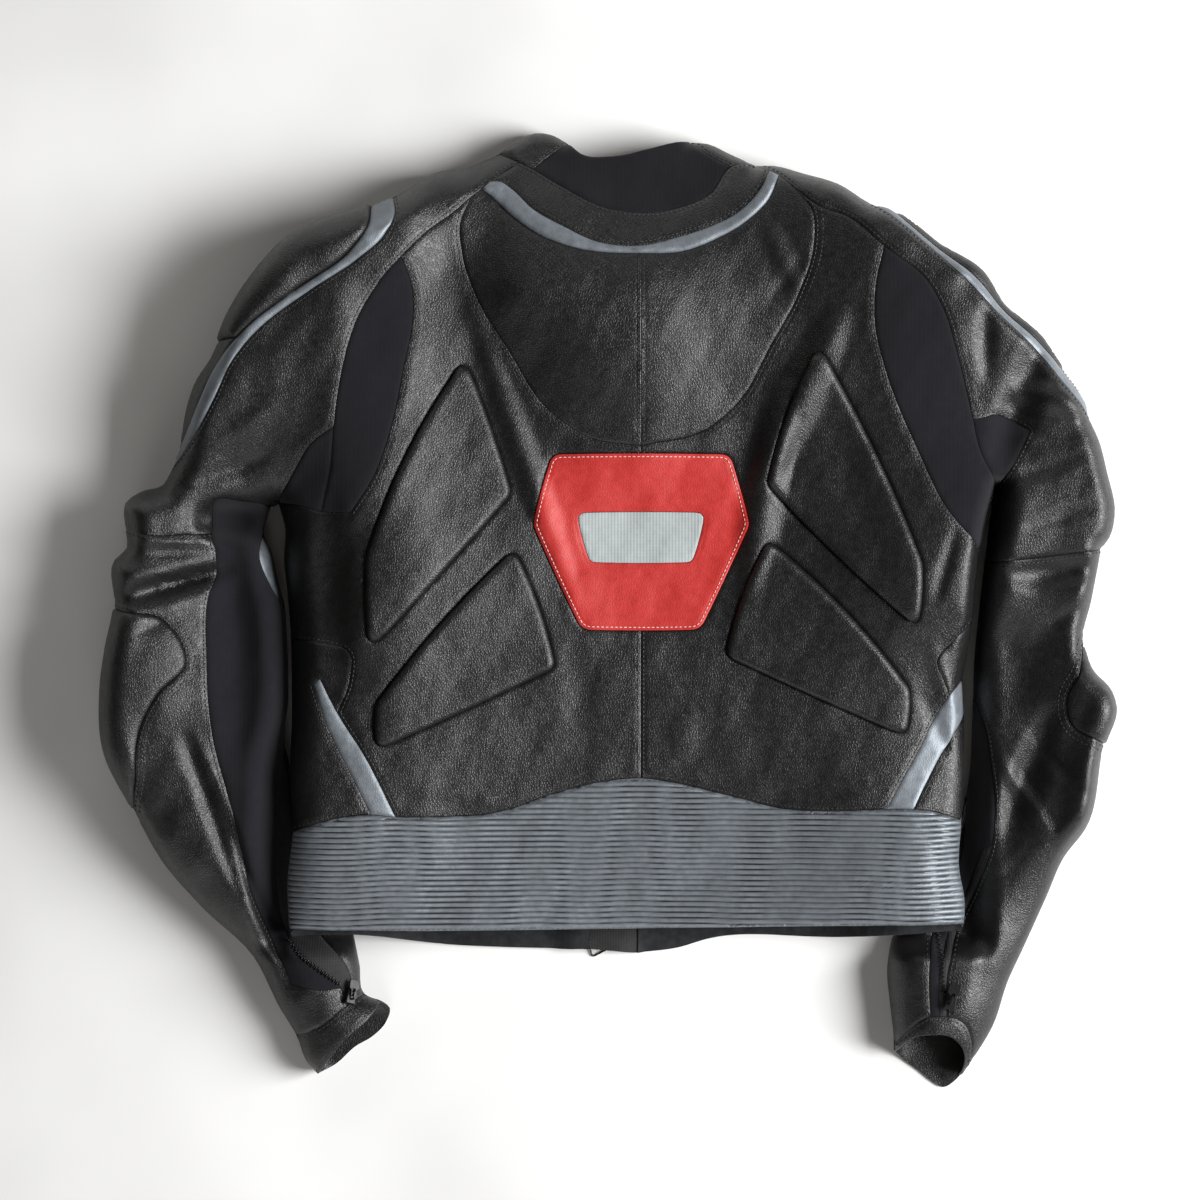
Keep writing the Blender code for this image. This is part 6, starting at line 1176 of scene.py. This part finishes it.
def along_line(line, pitch):
    """Places at an even pitch along a line, and its direction there."""
    gaps = np.hypot(*np.diff(line, axis=0).T)
    run = np.concatenate([[0], np.cumsum(gaps)])
    count = int(run[-1] // pitch)
    if count < 1:
        return np.zeros((0, 2)), np.zeros((0, 2))
    at = (np.arange(count) + 0.5) * run[-1] / count
    spots = np.stack([np.interp(at, run, line[:, k]) for k in (0, 1)], 1)
    ahead = np.stack([np.interp(np.minimum(at + 0.5, run[-1]), run, line[:, k]) for k in (0, 1)], 1)
    behind = np.stack([np.interp(np.maximum(at - 0.5, 0), run, line[:, k]) for k in (0, 1)], 1)
    along = ahead - behind
    return spots, along / np.linalg.norm(along, axis=1)[:, None]


def beside(line, offset, ring):
    """The line moved sideways into a ring."""
    tangent = np.gradient(line, axis=0)
    normal = np.stack([-tangent[:, 1], tangent[:, 0]], 1)
    normal /= np.linalg.norm(normal, axis=1)[:, None]
    moved = line + normal * offset
    if inside(moved, ring).mean() < 0.5:
        moved = line - normal * offset
    near = distance(moved, line)
    return moved[inside(moved, ring) & (near > offset * 0.9)]


def scatter(name, finish, base, spots, along, heights, facing):
    """Copies of a small shape at the spots, turned along and up, as one mesh."""
    points, faces = base
    flat = np.column_stack([along, np.zeros(len(along))])
    flat -= facing * (flat * facing).sum(1)[:, None]
    flat /= np.linalg.norm(flat, axis=1)[:, None]
    across = np.cross(facing, flat)
    centre = np.column_stack([spots, heights])
    placed = (centre[:, None, :] + points[None, :, 0:1] * flat[:, None, :]
              + points[None, :, 1:2] * across[:, None, :] + points[None, :, 2:3] * facing[:, None, :])
    count = len(points)
    joined = [[k * count + i for i in face] for k in range(len(spots)) for face in faces]
    piece = cloth(name, placed.reshape(-1, 3), joined, finish)
    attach(piece, BODY)
    return piece


def tooth_shape():
    """One zip tooth: a bevelled metal block that lies across the zip."""
    bpy.ops.object.select_all(action="DESELECT")
    bpy.ops.mesh.primitive_cube_add(size=1)
    block = bpy.context.object
    bpy.ops.object.mode_set(mode="EDIT")
    bpy.ops.mesh.select_all(action="SELECT")
    bpy.ops.mesh.bevel(offset=0.18, segments=1, affect="EDGES")
    bpy.ops.object.mode_set(mode="OBJECT")
    points = np.array([vertex.co[:] for vertex in block.data.vertices])
    faces = [list(polygon.vertices) for polygon in block.data.polygons]
    bpy.data.objects.remove(block, do_unlink=True)
    return points * TOOTH_SIZE, faces


def make_zip_teeth(tailor):
    """Closed teeth along each cuff's zip, one from each side in turn."""
    base = tooth_shape()
    for tube, line in ZIP_LINES.items():
        spots, along = along_line(np.array(line, dtype=float), TOOTH_PITCH)
        side = np.where(np.arange(len(spots)) % 2, 0.5, -0.5)[:, None]
        spots = spots + side * np.stack([-along[:, 1], along[:, 0]], 1)
        facing = tailor.form.facing(spots, tube, "upper")
        heights = tailor.form.upper(spots, tube) + TOOTH_SIZE[2] * 0.3
        piece = scatter("zip_teeth_" + tube, "dark_nickel", base, spots, along, heights, facing)


def make_stitching(tailor):
    base = stitch_shape()
    for tube, rows in tailor.rows.items():
        spots, along = [], []
        for name, line, offset in rows:
            ring = border(tailor.network, PANELS[name][3])[0]
            found, ahead = along_line(beside(line, offset, ring), STITCH_PITCH)
            spots.append(found)
            along.append(ahead)
        spots, along = np.vstack(spots), np.vstack(along)
        facing = tailor.form.facing(spots, tube, "upper")
        heights = tailor.form.upper(spots, tube) - STITCH_GROOVE + 0.2
        scatter("stitching_" + tube, "black_thread", base, spots, along, heights, facing)
    edge = beside(closed(tailor.plate), PLATE_STITCH_IN, tailor.plate)
    spots, along = along_line(edge, STITCH_PITCH)
    facing = tailor.form.facing(spots, "body", "upper")
    heights = tailor.form.upper(spots, "body") + PLATE_RAISE - STITCH_GROOVE + 0.3
    scatter("stitching_plate", "pink_thread", base, spots, along, heights, facing)


def linear(code):
    """A colour for a shader from its sRGB hex code."""
    parts = [int(code[i:i + 2], 16) / 255 for i in (0, 2, 4)]
    return [p / 12.92 if p <= 0.04045 else ((p + 0.055) / 1.055) ** 2.4 for p in parts]


def add(tree, kind, inputs=(), **settings):
    """Adds a node with its own settings, and its inputs' values or links."""
    node = tree.nodes.new("ShaderNode" + kind)
    for name, value in settings.items():
        setattr(node, name, value)
    for name, value in dict(inputs).items():
        if isinstance(value, bpy.types.NodeSocket):
            tree.links.new(value, node.inputs[name])
        else:
            node.inputs[name].default_value = value
    return node


def start_finish(name, colour, roughness, **sockets):
    """A new material: its tree, its shader and the object's coordinates."""
    made = bpy.data.materials.new("finished_" + name)
    FINISHES[name] = made
    made.use_nodes = True
    made.diffuse_color = (*colour, 1)
    tree = made.node_tree
    shader = tree.nodes["Principled BSDF"]
    shader.inputs["Base Color"].default_value = (*colour, 1)
    shader.inputs["Roughness"].default_value = roughness
    for socket, value in sockets.items():
        shader.inputs[socket.replace("_", " ")].default_value = value
    place_at = add(tree, "TexCoord").outputs["Object"]
    return tree, shader, place_at


def tint(tree, shader, place_at, dark, light, patch_mm, detail=3.0):
    """Varies the colour softly between two tones, over patches of a size in mm."""
    noise = add(tree, "TexNoise", {"Vector": place_at, "Scale": 1000 / patch_mm, "Detail": detail})
    spread = add(tree, "MapRange", {"Value": noise.outputs["Fac"], "From Min": 0.3, "From Max": 0.7})
    mix = add(tree, "Mix", {"Factor": spread.outputs["Result"]}, data_type="RGBA")
    mix.inputs[6].default_value = (*dark, 1)
    mix.inputs[7].default_value = (*light, 1)
    tree.links.new(mix.outputs[2], shader.inputs["Base Color"])
    return spread


def relief(tree, shader, layers):
    """Bumps on top of each other, each a height, a depth in mm and a strength."""
    normal = None
    for height, depth, strength in layers:
        inputs = {"Height": height, "Distance": depth * MM, "Strength": strength}
        if normal:
            inputs["Normal"] = normal
        normal = add(tree, "Bump", inputs).outputs["Normal"]
    tree.links.new(normal, shader.inputs["Normal"])


def grained_leather(name, dark, light, roughness, grain_mm, depth, **sockets):
    """Chrome-tanned cowhide with an embossed pebble grain: soft, broad gloss broken up by the pebbles."""
    tree, shader, place_at = start_finish(name, light, roughness, **sockets)
    spread = tint(tree, shader, place_at, dark, light, 5.0)
    rough = add(tree, "MapRange", {"Value": spread.outputs["Result"], "To Min": roughness - 0.04,
                                   "To Max": roughness + 0.05})
    tree.links.new(rough.outputs["Result"], shader.inputs["Roughness"])
    warp = add(tree, "TexNoise", {"Vector": place_at, "Scale": 1000 / 3.4, "Detail": 2.0})
    bent = add(tree, "VectorMath", {0: warp.outputs["Color"], 1: (0.0011, 0.0011, 0.0011)},
               operation="MULTIPLY")
    moved = add(tree, "VectorMath", {0: place_at, 1: bent.outputs[0]}, operation="ADD")
    pebbles = add(tree, "TexVoronoi", {"Vector": moved.outputs[0], "Scale": 1000 / grain_mm},
                  feature="DISTANCE_TO_EDGE")
    dome = add(tree, "MapRange", {"Value": pebbles.outputs["Distance"], "From Max": 0.32},
               interpolation_type="SMOOTHSTEP")
    wrinkle = add(tree, "TexNoise", {"Vector": place_at, "Scale": 1000 / 7.0, "Detail": 3.0,
                                     "Distortion": 0.6})
    relief(tree, shader, [(wrinkle.outputs["Fac"], 0.3, 0.15), (dome.outputs["Result"], depth, 0.7)])
    return tree, shader


def paint_groove_shade(tree, shader):
    """Paints shade into the leather's colour between the stitched ribs, where the light doesn't reach."""
    tone = shader.inputs["Base Color"].links[0].from_socket
    groove = add(tree, "Attribute", attribute_name="groove")
    shade = add(tree, "MapRange", {"Value": groove.outputs["Fac"], "From Min": 0.08, "From Max": 0.7,
                                   "To Min": 0.0, "To Max": 0.86})
    mix = add(tree, "Mix", {"Factor": shade.outputs["Result"]}, data_type="RGBA")
    # the colour of the painted shade in the rib troughs
    mix.inputs[7].default_value = (*linear("15171a"), 1)
    tree.links.new(tone, mix.inputs[6])
    tree.links.new(mix.outputs[2], shader.inputs["Base Color"])


def knitted(name, dark, light, pitch_mm):
    """Stretch fabric knitted in fine ribs: matt, with a faint nap at the edges."""
    tree, shader, place_at = start_finish(name, light, 0.95, Sheen_Weight=0.06, Sheen_Roughness=0.5,
                                          Specular_IOR_Level=0.25)
    tint(tree, shader, place_at, dark, light, 6.0)
    wale = add(tree, "TexWave", {"Vector": place_at, "Scale": 1000 / pitch_mm / 6.3, "Distortion": 0.8,
                                 "Detail": 1.0}, wave_type="BANDS", bands_direction="X")
    noise = add(tree, "TexNoise", {"Vector": place_at, "Scale": 1000 / 1.3, "Detail": 2.0})
    relief(tree, shader, [(wale.outputs["Fac"], 0.12, 0.3), (noise.outputs["Fac"], 0.3, 0.4)])


def woven(name, dark, light, roughness, thread_mm):
    """A dense plain weave, such as zip tape: matt, with fine threads both ways."""
    tree, shader, place_at = start_finish(name, light, roughness)
    tint(tree, shader, place_at, dark, light, 5.0)
    across = add(tree, "TexWave", {"Vector": place_at, "Scale": 1000 / thread_mm / 6.3},
                 wave_type="BANDS", bands_direction="X")
    along = add(tree, "TexWave", {"Vector": place_at, "Scale": 1000 / thread_mm / 6.3},
                wave_type="BANDS", bands_direction="Y")
    relief(tree, shader, [(across.outputs["Fac"], 0.2, 0.5), (along.outputs["Fac"], 0.2, 0.5)])


def plain(name, colour, roughness, patch_mm, **sockets):
    """An even finish with faint speckle, for thread, metal and the floor."""
    tree, shader, place_at = start_finish(name, colour, roughness, **sockets)
    tint(tree, shader, place_at, [c * 0.8 for c in colour], [min(1.0, c * 1.1) for c in colour], patch_mm)


class JacketColours(bpy.types.PropertyGroup):
    """Colours that a user would change"""
    black: bpy.props.FloatVectorProperty(
        name="Black leather", description="The main leather", subtype="COLOR", default=linear("0b0b0c"))
    silver: bpy.props.FloatVectorProperty(
        name="Silver leather", description="The waistband and stripes", subtype="COLOR",
        default=linear("6c7278"))
    red: bpy.props.FloatVectorProperty(
        name="Red leather", description="The back plate", subtype="COLOR", default=linear("a9211d"))
    grey: bpy.props.FloatVectorProperty(
        name="Grey fabric", description="The plate's bar", subtype="COLOR", default=linear("9aa1a1"))
    fabric: bpy.props.FloatVectorProperty(
        name="Stretch fabric", description="The knitted panels", subtype="COLOR", default=linear("101016"))


class JacketSizes(bpy.types.PropertyGroup):
    """Sizes that a user would change"""
    grain: bpy.props.FloatProperty(
        name="Grain", description="Width of a pebble of the leather, in mm", default=1.8, min=0.5, max=6.0)
    knit: bpy.props.FloatProperty(
        name="Knit", description="Width of a rib of the stretch fabric, in mm", default=1.6, min=0.5,
        max=6.0)
    light: bpy.props.FloatProperty(
        name="Light", description="Power of the soft light, in watts", default=160.0, min=1.0, max=900.0)


class JACKET_OT_finishes(bpy.types.Operator):
    """Makes the leathers, fabrics, threads and metal"""
    bl_idname = "jacket.finishes"
    bl_label = "Make finishes"

    def execute(self, context):
        colours, sizes = context.scene.jacket_colours, context.scene.jacket_sizes
        black, silver, red = list(colours.black), list(colours.silver), list(colours.red)
        grey, fabric, grain = list(colours.grey), list(colours.fabric), sizes.grain
        # Finished cowhide: almost black, with a broad soft gloss where it faces the window
        grained_leather("black_leather", [c * 0.9 for c in black], [c * 1.25 for c in black], 0.44, grain,
                        0.2)
        # Cowhide with a pearl pigment: a dull metallic grey, with painted shade between the ribs
        band = grained_leather("silver_leather", [c * 0.85 for c in silver], [c * 1.1 for c in silver], 0.5,
                               grain, 0.08, Metallic=0.4)
        paint_groove_shade(*band)
        # Pigmented cowhide: an even, strong red with a flat sheen
        grained_leather("red_leather", [c * 0.9 for c in red], [min(1, c * 1.05) for c in red], 0.55, grain,
                        0.1)
        # Woven polyester patch: matt and pale
        woven("grey_fabric", [c * 0.9 for c in grey], grey, 0.8, 1.2)
        # Knitted elastane: matt, dark, with hardly any gloss
        knitted("stretch_fabric", [c * 0.8 for c in fabric], fabric, sizes.knit)
        # Brushed polyester pile inside the hem: soft and lighter than the leather
        knitted("hem_pile", linear("1a1b1d"), linear("2b2c2f"), 2.2)
        # Woven polyester tape: matt, with a fine thread
        woven("zip_tape", linear("141415"), linear("1d1d1f"), 0.85, 1.0)
        # Bonded nylon thread: a slight gloss that picks the rows of stitches out
        plain("black_thread", linear("2a2a2c"), 0.6, 2.0)
        plain("pink_thread", linear("e8b9b2"), 0.6, 2.0)
        # Black nickel plate on cast zinc: dark, with a soft metal gloss
        plain("dark_nickel", linear("333333"), 0.45, 3.0, Metallic=1.0)
        # Uncoated paper: white and without gloss
        plain("floor_paper", linear("e6e6e5"), 0.85, 400.0)
        return {"FINISHED"}


class JACKET_OT_panels(bpy.types.Operator):
    """Makes the cut panels of the body, sleeves, collar and front as fine shells"""
    bl_idname = "jacket.panels"
    bl_label = "Make panels"

    def execute(self, context):
        for name in PANELS:
            TAILOR.panel(name)
        return {"FINISHED"}


class JACKET_OT_pads(bpy.types.Operator):
    """Makes the four foam-backed pads and the back plate with its bar"""
    bl_idname = "jacket.pads"
    bl_label = "Make pads and plate"

    def execute(self, context):
        make_pads(TAILOR)
        make_plate(TAILOR)
        return {"FINISHED"}


class JACKET_OT_stitching(bpy.types.Operator):
    """Sews the rows of topstitching"""
    bl_idname = "jacket.stitching"
    bl_label = "Make stitching"

    def execute(self, context):
        make_stitching(TAILOR)
        return {"FINISHED"}


class JACKET_OT_zips(bpy.types.Operator):
    """Sets the teeth of the cuff zips"""
    bl_idname = "jacket.zips"
    bl_label = "Make zip teeth"

    def execute(self, context):
        make_zip_teeth(TAILOR)
        return {"FINISHED"}


class JACKET_OT_metal(bpy.types.Operator):
    """Gives the zip sliders and pulls their metal"""
    bl_idname = "jacket.metal"
    bl_label = "Finish the metal"

    def execute(self, context):
        for name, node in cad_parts.items():
            if "slider" in name or "pull" in name:
                node.material_slots[0].material = FINISHES["dark_nickel"]
        return {"FINISHED"}


class JACKET_OT_stage(bpy.types.Operator):
    """Sets the floor, the lights and the camera"""
    bl_idname = "jacket.stage"
    bl_label = "Set the stage"

    def execute(self, context):
        bpy.ops.mesh.primitive_plane_add(size=8, location=(0, 0, FLOOR_DROP))
        floor = context.object
        floor.name = "floor"
        floor.data.materials.append(FINISHES["floor_paper"])
        for name, spot, size, power in LIGHTS:
            data = bpy.data.lights.new(name, "AREA")
            data.size, data.energy = size, power * context.scene.jacket_sizes.light
            lamp = bpy.data.objects.new(name, data)
            lamp.location = spot
            lamp.rotation_euler = (-Vector(spot)).to_track_quat("-Z", "Y").to_euler()
            context.scene.collection.objects.link(lamp)
        world = bpy.data.worlds.new("room")
        world.use_nodes = True
        world.node_tree.nodes["Background"].inputs["Color"].default_value = (*linear("f5ead9"), 1)
        world.node_tree.nodes["Background"].inputs["Strength"].default_value = ROOM_LIGHT
        context.scene.world = world
        context.scene.view_settings.view_transform = "Standard"
        data = bpy.data.cameras.new("camera")
        camera = bpy.data.objects.new("camera", data)
        camera.location = (*PHOTO_CENTRE, CAMERA_HEIGHT)
        data.lens = data.sensor_width * (CAMERA_HEIGHT - PHOTO_PLANE) / PHOTO_WIDTH
        context.scene.collection.objects.link(camera)
        context.scene.camera = camera
        return {"FINISHED"}


class JACKET_PT_sidebar(bpy.types.Panel):
    """Lists the jacket's sizes, colours and steps"""
    bl_label = "Jacket"
    bl_space_type = "VIEW_3D"
    bl_region_type = "UI"
    bl_category = "Jacket"

    def draw(self, context):
        for group in (context.scene.jacket_colours, context.scene.jacket_sizes):
            for name in group.__annotations__:
                self.layout.prop(group, name)
        for step in STEPS:
            self.layout.operator(step.bl_idname)


STEPS = (JACKET_OT_finishes, JACKET_OT_panels, JACKET_OT_pads, JACKET_OT_stitching, JACKET_OT_zips,
         JACKET_OT_metal, JACKET_OT_stage)
CLASSES = (JacketColours, JacketSizes, *STEPS, JACKET_PT_sidebar)
TAILOR = Tailor()


def register():
    for made in CLASSES:
        bpy.utils.register_class(made)
    bpy.types.Scene.jacket_colours = bpy.props.PointerProperty(type=JacketColours)
    bpy.types.Scene.jacket_sizes = bpy.props.PointerProperty(type=JacketSizes)


def unregister():
    del bpy.types.Scene.jacket_colours
    del bpy.types.Scene.jacket_sizes
    for made in reversed(CLASSES):
        bpy.utils.unregister_class(made)


def main():
    register()
    bpy.ops.jacket.finishes()
    bpy.ops.jacket.panels()
    bpy.ops.jacket.pads()
    bpy.ops.jacket.stitching()
    bpy.ops.jacket.zips()
    bpy.ops.jacket.metal()
    bpy.ops.jacket.stage()


if __name__ == "__main__":
    main()
